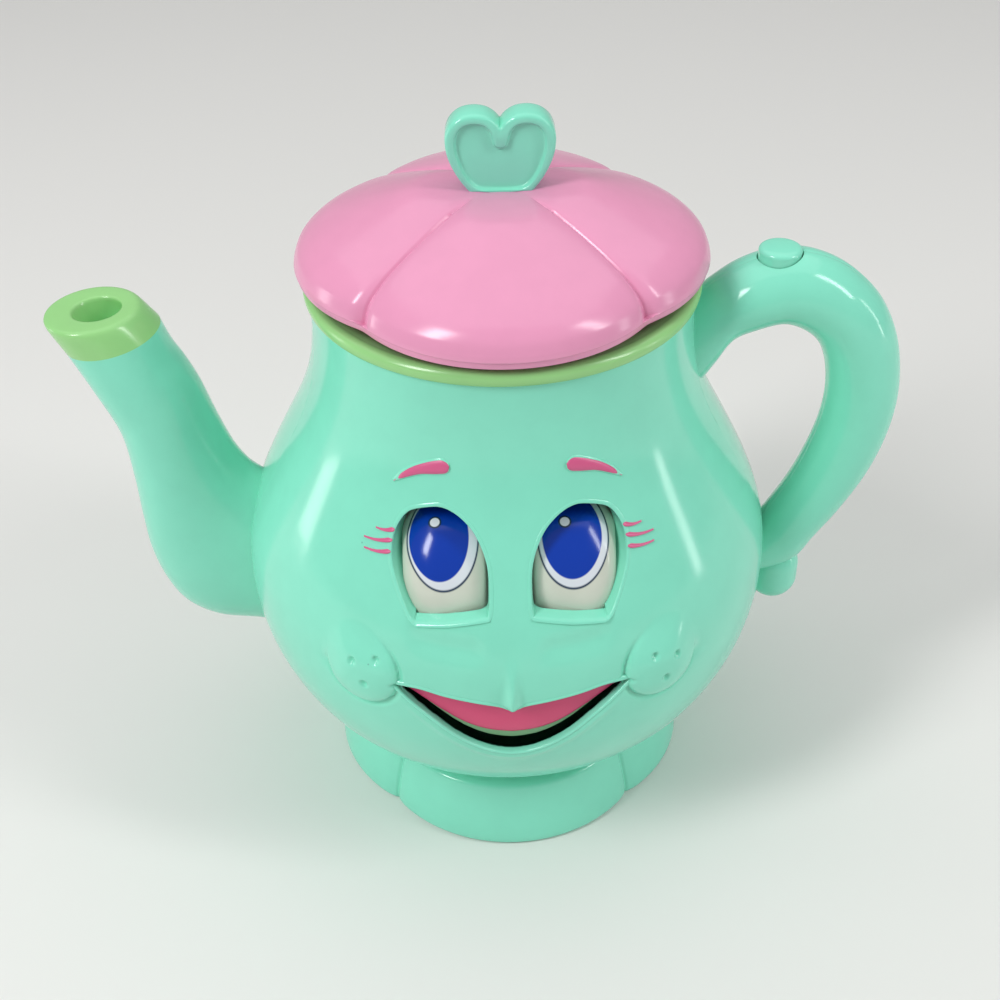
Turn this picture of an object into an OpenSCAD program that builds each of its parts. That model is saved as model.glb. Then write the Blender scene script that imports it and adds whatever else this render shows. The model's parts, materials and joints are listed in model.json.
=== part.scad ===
// Toy teapot with a smiling face, in millimetres. Z points up, the face looks along -Y, the spout
// points along -X and the handle along +X. The origin is the middle of the foot, on the table.
// A thumb button on the handle tips a lever, the lever lifts a rod, and the rod rolls the eyes down
// and swings the jaw open.

/* [Body] */
// Height of the neck's rim above the table
neck_z = 160; // [156:1:164]
// Diameter of the body at its fullest
belly_d = 148.4; // [146:0.4:152]
// Diameter of the neck at its rim
neck_d = 100; // [99:0.5:102]
// Height at which the body is fullest
belly_z = 77; // [75:0.5:79]
// Thickness of the moulded walls
wall = 2.2; // [1.8:0.1:2.6]
// Distance from the body's axis forward to the seam between the two shells
seam_y = 12; // [11:0.5:14]

/* [Foot] */
// Height of the foot
foot_z = 20.5; // [19:0.5:22]
// Radius of each lobe of the foot where it meets the table
foot_lobe_r = 43; // [42:0.5:45]
// Distance from the axis to the centre of each lobe
foot_lobe_out = 10.3; // [9.5:0.1:11]
// Radius of the spigot under the body that the foot takes
spigot_r = 40; // [39:0.5:40.5]

/* [Lid] */
// Distance that each of the lid's four pillows reaches past the neck
lid_over = 3.2; // [2:0.1:4.5]
// Distance from the axis to the centre of each pillow
lid_lobe_out = 12.3; // [11:0.1:13.5]
// Rise of the lid from its lower edge to its crown
lid_rise = 21.2; // [19.6:0.2:24]
// Height of the lid's lower edge above the neck's rim
lid_hover = 6; // [5:0.2:8]

/* [Heart knob] */
// Width of the heart across both lobes
heart_w = 27; // [24:0.5:30]
// Height of the heart above the lid's crown
heart_h = 20.4; // [18:0.2:23]
// Thickness of the heart
heart_t = 8; // [7:0.5:10]

/* [Spout] */
// Distance from the belly to the far side of the spout's mouth
spout_out = 46.6; // [42:0.2:52]
// Height of the spout's mouth on its far side
spout_top_z = 153.4; // [148:0.2:158]
// Height at which the spout leaves the body
spout_low_z = 45; // [43:0.5:47]
// Half the spout's thickness from front to back
spout_half = 14.6; // [14:0.1:15.2]
// Radius of the hole in the spout's mouth
mouth_bore_r = 6.2; // [5.4:0.1:7.4]

/* [Handle] */
// Distance from the belly to the far side of the handle
handle_out = 33.8; // [32:0.2:38]
// Height of the handle's crown
handle_top_z = 166.8; // [166:0.2:168.6]
// Height of the handle's lower root
handle_low_z = 54; // [52:0.5:56]
// Half the handle's thickness from front to back
handle_half = 11; // [10.8:0.1:11.6]
// Radius of the rounded foot at the handle's lower end
ball_r = 7.3; // [6.5:0.1:8]

/* [Thumb button] */
// Radius of the thumb button
button_r = 5.65; // [5.4:0.05:5.8]
// Height that the button stands proud of the handle
button_proud = 1.6; // [1:0.2:3]
// Travel of the button
button_travel = 2.7; // [1.5:0.1:2.8]

/* [Eyes] */
// Radius of each rolling eye
eye_r = 22.4; // [21:0.2:22.6]
// Width of each eye
eye_w = 21.6; // [20:0.2:22]
// Distance from the middle plane to the near side of each eye
eye_in = 5.2; // [5:0.1:5.6]
// Height of the eyes' shaft
eye_z = 101; // [99:0.5:102]
// Depth of each eye's outer rim behind the face's surface, at the height of the shaft
eye_set = 22.6; // [22.2:0.1:23]
// Width of each eye window
window_w = 22; // [19:0.5:23]
// Height of each eye window
window_h = 26; // [23:0.5:28]

/* [Mouth] */
// Width of the mouth slot from corner to corner
mouth_w = 61; // [56:1:63]
// Height of the mouth slot
mouth_h = 22.4; // [20:0.2:23]
// Height of the mouth slot's lowest point
mouth_z = 59.6; // [59:0.2:61]
// Distance from the jaw's pin to the front of the lip
jaw_r = 34.6; // [33.6:0.2:35]

/* [Hidden] */

// Colours of the mouldings and the metal parts
MINT = "#8EE6CB";
LIME = "#A4DE8C";
PINK = "#F2A6C8";
ROSE = "#DE5079";
IVORY = "#EDEBDD";
STEEL = "#B9BDC2";
GREY = "#D9DCE0";

$fn = 96;

// Clearances: a close fit inside one body, a running gap between moving pieces, an overrun for
// cuts, and a block larger than the whole toy
fit = 0.05;
gap = 0.3;
over = 1;
big = 400;

// Blends a to b by a share
function mix(a, b, share) = a + (b - a) * share;
function reversed(p) = [for (i = [len(p) - 1 : -1 : 0]) p[i]];
function mirrored(p) = [for (q = reversed(p)) [-q[0], q[1]]];
function degrees(rad) = rad * 180 / PI;

// A smooth curve through a list of points of any length, with n steps between neighbours
function span(a, b, c, d, t) =
    (2 * b + (c - a) * t + (2 * a - 5 * b + 4 * c - d) * t * t + (3 * b - a - 3 * c + d) * t * t * t) / 2;
function smooth(p, n) = concat(
    [for (i = [0 : len(p) - 2], j = [0 : n - 1])
        span(p[max(i - 1, 0)], p[i], p[i + 1], p[min(i + 2, len(p) - 1)], j / n)],
    [p[len(p) - 1]]);

// Moves each point of an open outline sideways by d, to the left of its direction
function sideways(p, d) = [for (i = [0 : len(p) - 1])
    let (a = p[max(i - 1, 0)], b = p[min(i + 1, len(p) - 1)], t = (b - a) / norm(b - a))
    p[i] + d * [-t[1], t[0]]];

// Turned profile of the body: shares of the way from foot to belly, then from belly to neck
belly_r = belly_d / 2;
spout_reach = belly_r + spout_out;
handle_reach = belly_r + handle_out;
neck_r = neck_d / 2;
shoulder = 1.2;
base_r = spigot_r + shoulder;
spigot_h = 8;
spigot_z = foot_z - spigot_h;
lower_shares = [[0, 0], [0.09, 0.19], [0.19, 0.39], [0.32, 0.615], [0.48, 0.79], [0.66, 0.915],
                [0.83, 0.98], [1, 1]];
upper_shares = [[0.12, 0.965], [0.23, 0.855], [0.345, 0.68], [0.463, 0.475], [0.58, 0.27],
                [0.694, 0.12], [0.8, 0.04], [0.9, 0.005], [1, 0]];
body_line = smooth(concat(
    [for (s = lower_shares) [mix(base_r, belly_r, s[1]), mix(foot_z, belly_z, s[0])]],
    [for (s = upper_shares) [mix(neck_r, belly_r, s[1]), mix(belly_z, neck_z, s[0])]]), 2);
inner_line = sideways(body_line, wall);
body_table = [for (p = body_line) [p[1], p[0]]];
function body_r(z) = lookup(z, body_table);

// Distance from the axis forward to the eyes' shaft
eye_y = sqrt(pow(body_r(eye_z), 2) - pow(eye_in + eye_w, 2)) - eye_set;

// Screws of the two shells: half spacing and height of the lower and the upper pair
boss_places = [[belly_r * 0.7, mix(foot_z, belly_z, 0.7)], [neck_r * 0.76, mix(belly_z, neck_z, 0.566)]];
boss_r = 4.8;
pilot_r = 1.25;
pilot_depth = 10;
shank_r = 1.2;
head_r = 3;
head_h = 1.8;
driver_r = 3.4;
screw_seat = 3;
screw_bite = 8;

// Eye windows: a share outline of the window's width and height, from the inner corner of the
// sill up round the brow to the outer corner
window_in = eye_in + gap;
sill_up = 0.1;
sill_z = eye_z + sill_up;
window_shares = [[0.02, 0.12], [0, 0.22], [0, 0.46], [0.03, 0.61], [0.09, 0.74], [0.17, 0.85],
                 [0.3, 0.95], [0.44, 1], [0.58, 0.99], [0.79, 0.92], [0.91, 0.8], [0.98, 0.66],
                 [1, 0.52], [0.98, 0.38], [0.91, 0.2], [0.83, 0.05], [0.77, 0]];
sill_share = [0.43, 0.045];
function window_point(s) = [window_in + s[0] * window_w, sill_z + s[1] * window_h];
window_line = concat([for (s = smooth(window_shares, 3)) window_point(s)], [window_point(sill_share)]);

// Mouth slot: shares of half the mouth's width and of its height, above and below
lip_top_shares = [[0, 0.78], [0.06, 0.83], [0.131, 0.866], [0.344, 0.91], [0.574, 0.955], [0.78, 1],
                  [1, 0.978]];
lip_low_shares = [[1, 0.978], [0.9, 0.835], [0.8, 0.71], [0.67, 0.55], [0.52, 0.355], [0.39, 0.215],
                  [0.26, 0.105], [0.13, 0.03], [0, 0]];
function mouth_point(s) = [s[0] * mouth_w / 2, mouth_z + s[1] * mouth_h];
mouth_half = [for (s = concat(smooth(lip_top_shares, 2), smooth(lip_low_shares, 3))) mouth_point(s)];

// Cheek pads with three dimples each, and the ridge between nose and lip
cheek_x = belly_r * 0.519;
cheek_z = belly_z * 1.078;
cheek_r = 9.6;
cheek_rise = 0.9;
cheek_edge = 1.1;
cheek_lean = 5;
dimple_r = 1.5;
dimple_up = 0.5;
dimple_shares = [[-0.27, 0.42], [0.29, 0.19], [0, -0.33]];
ridge_low_r = 2.4;
ridge_high_r = 1.2;
ridge_h = 14.5;
ridge_in = 1.2;
ridge_up = 0.5;
ridge_z = belly_z + ridge_up;

// Brows and lashes stand out of the face by a little: brow as shares of its length and height,
// lashes as the place of the root, then the run outward and up, in shares of the window
relief = 0.45;
brow_out = 9;
brow_in = eye_in + brow_out;
brow_w = 14;
brow_up = 3.7;
brow_z = sill_z + window_h + brow_up;
brow_h = 8;
brow_shares = [[1, 0], [0.84, 0.34], [0.64, 0.62], [0.41, 0.84], [0.18, 0.99], [0.06, 0.97], [0, 0.83],
               [0.05, 0.6], [0.22, 0.51], [0.51, 0.41], [0.79, 0.19]];
lash_shares = [[1.04, 0.72, 0.22, -0.04], [1.07, 0.625, 0.335, -0.06], [1.095, 0.523, 0.315, -0.05]];
lash_half = 0.55;
lash_tip = 0.2;

// Collar: a bead round the neck, a dish that falls inward, and a round pocket for the lid
bead_out = 1.5;
bead_h = 3.8;
bead_in = 2.6;
dish_drop = 4.4;
pocket_r = neck_r * 0.78;
pocket_depth = 8;
pocket_z = neck_z - pocket_depth;
floor_t = 2;
collar_skirt = 8;

// Lid: pillow profile as shares of its radius and rise, a skirt, and a plug for the pocket
lid_z = neck_z + lid_hover;
lid_lobe_r = neck_r + lid_over - lid_lobe_out;
pillow_shares = [[0, 1], [0.13, 0.997], [0.24, 0.972], [0.4, 0.86], [0.516, 0.772], [0.63, 0.685],
                 [0.74, 0.595], [0.83, 0.512], [0.91, 0.41], [0.965, 0.3], [0.992, 0.18]];
skirt_h = 2.6;
skirt_in = 0.5;
plug_flange_z = 0.4;
plug_flange_t = 1.8;
plug_wall = 2;
crown_z = lid_z + lid_rise;

// Heart knob: shares of half its width and of its height
heart_shares = [[0, 0.84], [0.1, 0.915], [0.27, 0.98], [0.5, 1], [0.73, 0.965], [0.9, 0.87], [0.99, 0.74],
                [1, 0.62], [0.97, 0.48], [0.89, 0.33], [0.76, 0.17], [0.59, 0]];
panel_shares = [[0, 0.61], [0.09, 0.635], [0.15, 0.72], [0.2, 0.83], [0.32, 0.905], [0.52, 0.925],
                [0.71, 0.885], [0.83, 0.8], [0.87, 0.7], [0.86, 0.56], [0.8, 0.42], [0.72, 0.29],
                [0.58, 0.13], [0.38, 0.05], [0, 0.03]];
heart_sunk = 0.8;
heart_z = crown_z - heart_sunk;
heart_recess = 1.2;
peg_r = 4;
knob_boss_r = 7;
knob_boss_h = 3.6;
boss_low = crown_z - wall - knob_boss_h;
knob_bite = 7;

// Spout: each station gives the far edge, then the near edge, as a share of the way out from the
// body's wall to the reach and a share of the way up, then the thickness as a share
spout_shares = [[-0.072, 0.003, -0.252, 0.468, 0.89], [0.142, 0.028, -0.063, 0.494, 0.952],
                [0.357, 0.046, 0.049, 0.522, 0.986], [0.503, 0.098, 0.123, 0.551, 1],
                [0.582, 0.181, 0.2, 0.592, 1], [0.633, 0.288, 0.277, 0.646, 0.986],
                [0.657, 0.406, 0.354, 0.71, 0.973], [0.695, 0.535, 0.424, 0.784, 0.952],
                [0.752, 0.669, 0.485, 0.847, 0.932], [0.847, 0.793, 0.535, 0.899, 0.918],
                [0.936, 0.918, 0.571, 0.959, 0.904]];
tip_share = [1, 1, 0.638, 1.015, 0.877];
tip_round = 1.2;
mouth_near = 1.5;
neck_slot_half = 9;
slot_low_up = 9;
slot_high_up = 47;
spout_slot = [spout_low_z + slot_low_up, spout_low_z + slot_high_up];
slot_in = 9;
slot_out = 5;
web_t = 2.2;
tip_spigot = 6;

// Handle: the same kind of stations, from the root at the neck round to the root at the belly
handle_shares = [[-0.143, 0.833, -0.24, 0.608, 1.018], [0.002, 0.888, -0.053, 0.664, 1.018],
                 [0.084, 0.926, 0.057, 0.716, 1], [0.195, 0.965, 0.157, 0.78, 1],
                 [0.316, 0.991, 0.269, 0.807, 1], [0.46, 1, 0.395, 0.823, 1],
                 [0.607, 0.98, 0.496, 0.805, 1], [0.74, 0.937, 0.571, 0.768, 1],
                 [0.87, 0.864, 0.611, 0.714, 0.982], [0.959, 0.762, 0.619, 0.648, 0.964],
                 [1, 0.637, 0.591, 0.577, 0.945], [0.98, 0.518, 0.521, 0.502, 0.927],
                 [0.881, 0.399, 0.387, 0.413, 0.9], [0.688, 0.285, 0.232, 0.335, 0.873],
                 [0.487, 0.19, 0.072, 0.264, 0.845], [0.361, 0.121, -0.023, 0.226, 0.818],
                 [0.16, 0.089, -0.139, 0.191, 0.8], [-0.129, 0.08, -0.314, 0.147, 0.773]];
handle_slot_half = 7;
slot_low_drop = 26;
slot_high_drop = 9;
handle_slot = [neck_z - slot_low_drop, neck_z - slot_high_drop];
handle_slot_in = 2.4;
handle_slot_out = 3.2;
handle_web_r = 8.2;
root_peg_r = 4.5;
root_peg_up = 17;
root_peg_z = handle_low_z + root_peg_up;
root_web_r = 6.8;
root_peg_in = 6;
root_peg_out = 6;
root_web_out = 1.5;
ball_out = 5.6;
ball_up = 3.5;
ball_rise = 4.5;

// Number of facets round a tube, and of steps between two stations
tube_sides = 24;
tube_steps = 2;

// Lever under the collar: pivot, arms, hub and pad
pivot_in = 7;
pivot_drop = 22;
pivot_x = neck_r - pivot_in;
pivot_z = neck_z - pivot_drop;
pin_r = 1.6;
run = 0.05;
button_x = mix(neck_r, handle_reach, 0.3732);
pad_r = 1.3;
pad_drop = 13.6;
pad_z = handle_top_z - pad_drop;
pad_back = 0.6;
lever_t = 2.6;
lever_half = 2.6;
lever_hub_r = 3.6;
lever_hub_half = 4.6;
ear_t = 2.6;
ear_r = 3.5;
tongue_t = 2.4;
tongue_half = 1.5;
tongue_past = 3.4;
tongue_out = 8;
lever_shares = [[0, 0], [0.27, 0.3], [0.54, 0.66], [0.79, 0.9], [1, 1]];
lever_out = button_x - pivot_x;
rod_lift = button_travel * pivot_x / lever_out;

// Rod behind the face: a flat bar with a finger to the eye crank, a slot for each pin and one for
// the lever's tongue
rod_set = 28.6;
rod_y = eye_y - rod_set;
rod_w = 6;
rod_t = 2;
slot_len = 4;
slot_end = 1.6;
finger_h = 8;
rod_end = 3.4;
crank_arm = 10;
crank_pin_r = 1.2;
eye_swing = degrees(rod_lift / crank_arm);
crank_pin = [eye_y - crank_arm * cos(eye_swing / 2), eye_z - crank_arm * sin(eye_swing / 2)];
crank_hub_r = 4;
crank_t = 3;
crank_gap = 0.3;
pin_past = 1.2;

// Jaw: its pin, its arms and its crank, and the outline of carrier and lip as shares of the mouth
jaw_back = 4.6;
jaw_drop = 29;
jaw_y = eye_y - jaw_back;
jaw_z = eye_z - jaw_drop;
jaw_arm = jaw_y - rod_y;
jaw_swing = degrees(rod_lift / jaw_arm);
jaw_crank_pin = [jaw_y - jaw_arm * cos(jaw_swing / 2), jaw_z - jaw_arm * sin(jaw_swing / 2)];
jaw_hub_r = 3.4;
jaw_hub_half = 29.4;
jaw_arm_t = 1.8;
jaw_arm_h = 5;
jaw_arm_share = 1.08;
jaw_arm_z = mouth_z + mouth_h * jaw_arm_share;
carrier_t = 2.2;
rim_back = 0.4;
lip_t = 1.2;
carrier_top_shares = [[0, 0.92], [0.2, 0.97], [0.55, 1.02], [0.85, 1.06], [1.09, 1.1]];
carrier_low_shares = [[1.09, 0.97], [0.98, 0.92], [0.82, 0.77], [0.61, 0.56], [0.41, 0.35], [0.2, 0.195],
                      [0, 0.145]];
lip_low_line_shares = [[1.09, 1.01], [0.98, 0.95], [0.86, 0.88], [0.74, 0.79], [0.575, 0.61], [0.41, 0.435],
                       [0.21, 0.31], [0, 0.255]];

// Chassis behind the eyes: a plate with ears for the two pins, guides for the rod and four screws
plate_set = 16.6;
plate_y = eye_y - plate_set;
plate_t = 2;
plate_down = 37;
plate_up = 25;
plate_z = [eye_z - plate_down, eye_z + plate_up];
ear_in = 30.5;
chassis_ear_t = 2;
plate_half = ear_in + chassis_ear_t;
ear_half_h = 6;
guide_h = 5;
guide_half = 4;
guide_wall = 1.5;
guide_down = 21;
guide_up = 17;
guide_zs = [eye_z - guide_down, eye_z + guide_up];
wing_x = 40;
wing_down = 35;
wing_rise = 11;
wing_zs = [eye_z - wing_down, eye_z + wing_rise];
wing_r = 4.5;
post_r = 3.6;
finger_slot_half = 1.6;
finger_slot = [crank_pin[1] - finger_h / 2 - over, crank_pin[1] + finger_h / 2 + rod_lift + over];
crank_slot_half = 6.5;

// Foot and base plate
foot_line_shares = [[0.965, 0], [0.99, 0.03], [1, 0.1], [0.985, 0.3], [0.955, 0.55], [0.925, 0.8],
                    [0.91, 0.94], [0.885, 1]];
foot_top_t = 3;
cavity_out = 3.3;
cavity_r = spigot_r + cavity_out;
plate_gap = 0.1;
base_t = 2.2;
column_r = 4.2;
column_in = 0.4;
column_at = spigot_r - column_in;
column_top = spigot_z - gap;
base_head_r = 2.6;
base_head_h = 1.1;
base_head_up = 0.3;

// Button, its guide and its spring
hole_gap = 0.3;
flange_out = 0.5;
flange_t = 1;
flange_drop = 5.9;
stem_r = 2.1;
guide_out = 0.8;
guide_r = button_r + guide_out;
guide_wall_t = 1.2;
guide_top_drop = 6.9;
guide_low_drop = 12;
guide_floor_t = 1;
wing_t = 1.6;
wing_short = wall + gap;
wing_reach = handle_half - wing_short;
wing_half = 2.6;
wing_up = 1.2;
dome_drop = 1.1;
spring_r = 4.3;
wire_r = 0.38;
spring_turns = 3;
spring_sides = 8;
spring_steps = 16;
spring_low = handle_top_z - guide_low_drop + guide_floor_t;
spring_high = handle_top_z - flange_drop;

// A block that fills one side of the plane y = at, in front of it or behind it
module before(at) translate([-big / 2, at - big, -big / 2]) cube(big);
module behind(at) translate([-big / 2, at, -big / 2]) cube(big);

// Cylinders and plates that lie along X or Y
module along_x(r, from, to) translate([from, 0, 0]) rotate([0, 90, 0]) cylinder(h = to - from, r = r);
module along_y(r, from, to) translate([0, to, 0]) rotate([90, 0, 0]) cylinder(h = to - from, r = r);
module face_cut(from, to) translate([0, -from, 0]) rotate([90, 0, 0]) linear_extrude(to - from) children();
module slab_x(from, to) translate([from, 0, 0]) rotate([90, 0, 90]) linear_extrude(to - from) children();
module slab_y(half) translate([0, half, 0]) rotate([90, 0, 0]) linear_extrude(2 * half) children();

// A slot with round ends, drawn in the plane across X: half width and the heights of its ends
module slot(half, z) {
    translate([0, z[0] + half]) circle(half);
    translate([0, z[1] - half]) circle(half);
    translate([-half, z[0] + half]) square([2 * half, z[1] - z[0] - 2 * half]);
}

// Places a feature on the turned wall at a height, turned round the axis, with Z pointing out
module on_wall(angle, z, in = 0)
    rotate([0, 0, angle]) translate([0, in - body_r(z), z]) rotate([90, 0, 0]) children();

module outer_solid(grow = 0)
    rotate_extrude() polygon(concat([[0, foot_z]], sideways(body_line, -grow), [[0, neck_z]]));

module inner_solid()
    rotate_extrude() polygon(concat([[0, spigot_z - over], [spigot_r - wall, spigot_z - over]],
        [[spigot_r - wall, inner_line[0][1]]], inner_line,
        [[inner_line[len(inner_line) - 1][0], neck_z + over], [0, neck_z + over]]));

module spigot() translate([0, 0, spigot_z]) cylinder(h = foot_z - spigot_z + over, r = spigot_r);

// One half of the brow, lashes and both sides of the face share these outlines
module brow() polygon([for (s = smooth(brow_shares, 2)) [brow_in + s[0] * brow_w, brow_z + s[1] * brow_h]]);

module lash(row) {
    a = window_point([row[0], row[1]]);
    b = a + [row[2] * window_w, row[3] * window_h];
    t = (b - a) / norm(b - a);
    n = [-t[1], t[0]];
    polygon([a - n * lash_half, b - n * lash_tip, b + n * lash_tip, a + n * lash_half]);
}

module both_sides() {
    children();
    mirror([1, 0, 0]) children();
}

module cheek_pad() {
    lean = [-cheek_lean, cheek_lean, 0];
    on_wall(asin(cheek_x / body_r(cheek_z)), cheek_z) rotate(lean) rotate_extrude()
        polygon([[0, -wall], [cheek_r, -wall], [cheek_r, cheek_rise - cheek_edge],
                 [cheek_r - cheek_edge / 3, cheek_rise - cheek_edge / 3],
                 [cheek_r - cheek_edge, cheek_rise], [0, cheek_rise + cheek_edge / 2]]);
}

module dimples() on_wall(asin(cheek_x / body_r(cheek_z)), cheek_z)
    for (s = dimple_shares) translate([s[0] * cheek_r, s[1] * cheek_r, cheek_rise + dimple_up])
        sphere(dimple_r, $fn = 32);

module ridge() {
    slope = atan((body_r(ridge_z) - body_r(ridge_z + ridge_h)) / ridge_h);
    translate([0, ridge_in - body_r(ridge_z), ridge_z]) rotate([-slope, 0, 0])
        cylinder(h = ridge_h, r1 = ridge_low_r, r2 = ridge_high_r);
}

module face_posts() both_sides() for (z = wing_zs)
    translate([wing_x, 0, z]) along_y(post_r, -belly_r, -plate_y);

module shell_bosses(from, to) both_sides() for (p = boss_places)
    translate([p[0], 0, p[1]]) along_y(boss_r, from, to);

module face_shell() color(MINT) difference() {
    union() {
        difference() {
            union() {
                outer_solid();
                spigot();
                both_sides() cheek_pad();
                ridge();
                intersection() {
                    outer_solid(relief);
                    face_cut(0, big) both_sides() {
                        brow();
                        for (row = lash_shares) lash(row);
                    }
                }
            }
            inner_solid();
        }
        intersection() {
            union() {
                face_posts();
                shell_bosses(-belly_r, -seam_y);
            }
            outer_solid(-wall / 2);
        }
    }
    behind(-seam_y);
    both_sides() dimples();
    face_cut(eye_y, big) both_sides() polygon(window_line);
    face_cut(jaw_y, big) polygon(concat(mouth_half, mirrored(mouth_half)));
    both_sides() for (z = wing_zs) translate([wing_x, 0, z])
        along_y(pilot_r, -plate_y - pilot_depth, -plate_y + over);
    both_sides() for (p = boss_places) translate([p[0], 0, p[1]])
        along_y(pilot_r, -seam_y - pilot_depth, -seam_y + over);
}

module rear_shell() color(MINT) difference() {
    union() {
        difference() {
            union() {
                outer_solid();
                spigot();
            }
            inner_solid();
        }
        intersection() {
            shell_bosses(-seam_y, belly_r);
            outer_solid(-wall / 2);
        }
    }
    before(-seam_y);
    both_sides() for (p = boss_places) translate([p[0], 0, p[1]]) {
        along_y(driver_r, screw_seat - seam_y, belly_r);
        along_y(pilot_r + run, -seam_y - over, belly_r);
    }
    slab_x(-big, slot_in - belly_r) slot(neck_slot_half, spout_slot);
    slab_x(neck_r - slot_in, big) slot(handle_slot_half, handle_slot);
    translate([0, 0, root_peg_z]) along_x(root_peg_r, belly_r - slot_in, big);
}

module screw(seat, length, r = head_r, h = head_h) {
    along_y(r, seat, seat + h);
    along_y(shank_r, seat - length, seat);
}

module shell_screws() color(STEEL) both_sides() for (p = boss_places)
    translate([p[0], 0, p[1]]) screw(screw_seat - seam_y, screw_seat + screw_bite);

module collar() color(LIME) {
    rotate_extrude() polygon([
        [0, pocket_z], [pocket_r, pocket_z], [pocket_r, neck_z + bead_h - dish_drop],
        [neck_r - bead_in, neck_z + bead_h - bead_out / 3], [neck_r, neck_z + bead_h],
        [neck_r + bead_out * 0.7, neck_z + bead_h * 0.8], [neck_r + bead_out, neck_z + bead_h / 2],
        [neck_r + bead_out * 0.6, neck_z + bead_h * 0.15], [neck_r, neck_z], [neck_r - wall - gap, neck_z],
        [neck_r - wall - gap, neck_z - collar_skirt], [neck_r - 2 * wall - gap, neck_z - collar_skirt],
        [neck_r - 2 * wall - gap, pocket_z + floor_t], [pocket_r + floor_t, pocket_z + floor_t],
        [pocket_r + floor_t, pocket_z - floor_t], [0, pocket_z - floor_t]]);
    for (side = [-1, 1]) translate([pivot_x, side * (lever_hub_half + gap + ear_t / 2), 0]) difference() {
        union() {
            translate([0, 0, pivot_z]) along_y(ear_r, -ear_t / 2, ear_t / 2);
            translate([-ear_r, -ear_t / 2, pivot_z]) cube([2 * ear_r, ear_t, pocket_z + floor_t - pivot_z]);
        }
        translate([0, 0, pivot_z]) along_y(pin_r + fit, -ear_t, ear_t);
    }
}

module foot_lobes() for (a = [0 : 90 : 270]) rotate([0, 0, a]) translate([foot_lobe_out, 0, 0])
    rotate_extrude() polygon(concat([[0, 0]],
        [for (s = foot_line_shares) [s[0] * foot_lobe_r, s[1] * foot_z]], [[0, foot_z]]));

module foot_ring() color(MINT) difference() {
    union() {
        difference() {
            foot_lobes();
            translate([0, 0, -over]) cylinder(h = foot_z - foot_top_t + over, r = cavity_r);
        }
        for (a = [45 : 90 : 315]) rotate([0, 0, a]) translate([column_at, 0, base_t])
            cylinder(h = column_top - base_t, r = column_r);
    }
    translate([0, 0, foot_z - foot_top_t - over]) cylinder(h = big, r = spigot_r + fit);
    for (a = [45 : 90 : 315]) rotate([0, 0, a]) translate([column_at, 0, -over])
        cylinder(h = base_t + over + pilot_depth * 0.8, r = pilot_r);
}

module base_plate() color(MINT) difference() {
    cylinder(h = base_t, r = cavity_r - plate_gap);
    for (a = [45 : 90 : 315]) rotate([0, 0, a]) translate([column_at, 0, -over]) {
        cylinder(h = big, r = pilot_r + run);
        cylinder(h = over + base_head_up + base_head_h, r = base_head_r + plate_gap);
    }
}

module base_screws() color(STEEL) for (a = [45 : 90 : 315]) rotate([0, 0, a]) translate([column_at, 0, 0]) {
    translate([0, 0, base_head_up]) cylinder(h = base_head_h, r = base_head_r);
    translate([0, 0, base_head_up]) cylinder(h = base_head_h + pilot_depth * 0.7, r = shank_r);
}

// Tubes drawn between two edges in the middle plane. A station holds the far edge's x and z, the
// near edge's x and z and half the thickness; inset thins it evenly
function station(s, side, reach, low, high, half) =
    let (z1 = mix(low, high, s[1]), z2 = mix(low, high, s[3]))
    [side * mix(body_r(z1), reach, s[0]), z1, side * mix(body_r(z2), reach, s[2]), z2, s[4] * half];
function edge_ring(s, inset, angles) =
    let (far = [s[0], s[1]], near = [s[2], s[3]], c = (far + near) / 2, w = norm(far - near) / 2,
         u = (far - c) / w)
    [for (a = angles) let (q = c + u * (w - inset) * cos(a)) [q[0], (s[4] - inset) * sin(a), q[1]]];

// Skins rings of n points each into a closed solid
function ring_faces(rings, n) = concat(
    [for (i = [0 : rings - 2], j = [0 : n - 1], k = [0, 1])
        let (a = i * n + j, b = i * n + (j + 1) % n) k == 0 ? [a, b, b + n] : [a, b + n, a + n]],
    [for (k = [1 : n - 2]) [0, k + 1, k]],
    [for (k = [1 : n - 2]) let (e = (rings - 1) * n) [e, e + k, e + k + 1]]);
module skin(rings)
    polyhedron(points = [for (r = rings, p = r) p], faces = ring_faces(len(rings), len(rings[0])));
round_angles = [for (j = [0 : tube_sides - 1]) j * 360 / tube_sides];
module tube_solid(line, inset) skin([for (s = line) edge_ring(s, inset, round_angles)]);

spout_line = smooth([for (s = spout_shares)
    station(s, -1, spout_reach, spout_low_z, spout_top_z, spout_half)], tube_steps);
spout_end = spout_line[len(spout_line) - 1];
mouth_end = station(tip_share, -1, spout_reach, spout_low_z, spout_top_z, spout_half);
handle_line = smooth([for (s = handle_shares)
    station(s, 1, handle_reach, handle_low_z, handle_top_z, handle_half)], tube_steps);
function centre_of(s) = [(s[0] + s[2]) / 2, 0, (s[1] + s[3]) / 2];
tip_from = centre_of(spout_end);
tip_way = centre_of(mouth_end) + [mouth_near, 0, 0] - tip_from;
tip_tilt = atan2(tip_way[0], tip_way[2]);

module spout() color(MINT) {
    difference() {
        tube_solid(spout_line, 0);
        tube_solid(spout_line, wall);
        outer_solid();
    }
    difference() {
        union() {
            slab_x(-belly_r - slot_out, slot_in - belly_r)
                slot(neck_slot_half - fit, spout_slot + [fit, -fit]);
            intersection() {
                slab_x(-belly_r - slot_out, web_t - belly_r - slot_out)
                    translate([-spout_half, spout_low_z])
                        square([2 * spout_half, spout_top_z - spout_low_z]);
                tube_solid(spout_line, wall / 2);
            }
        }
        slab_x(-big, 0) slot(neck_slot_half - wall, spout_slot + [wall, -wall]);
    }
}

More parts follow.
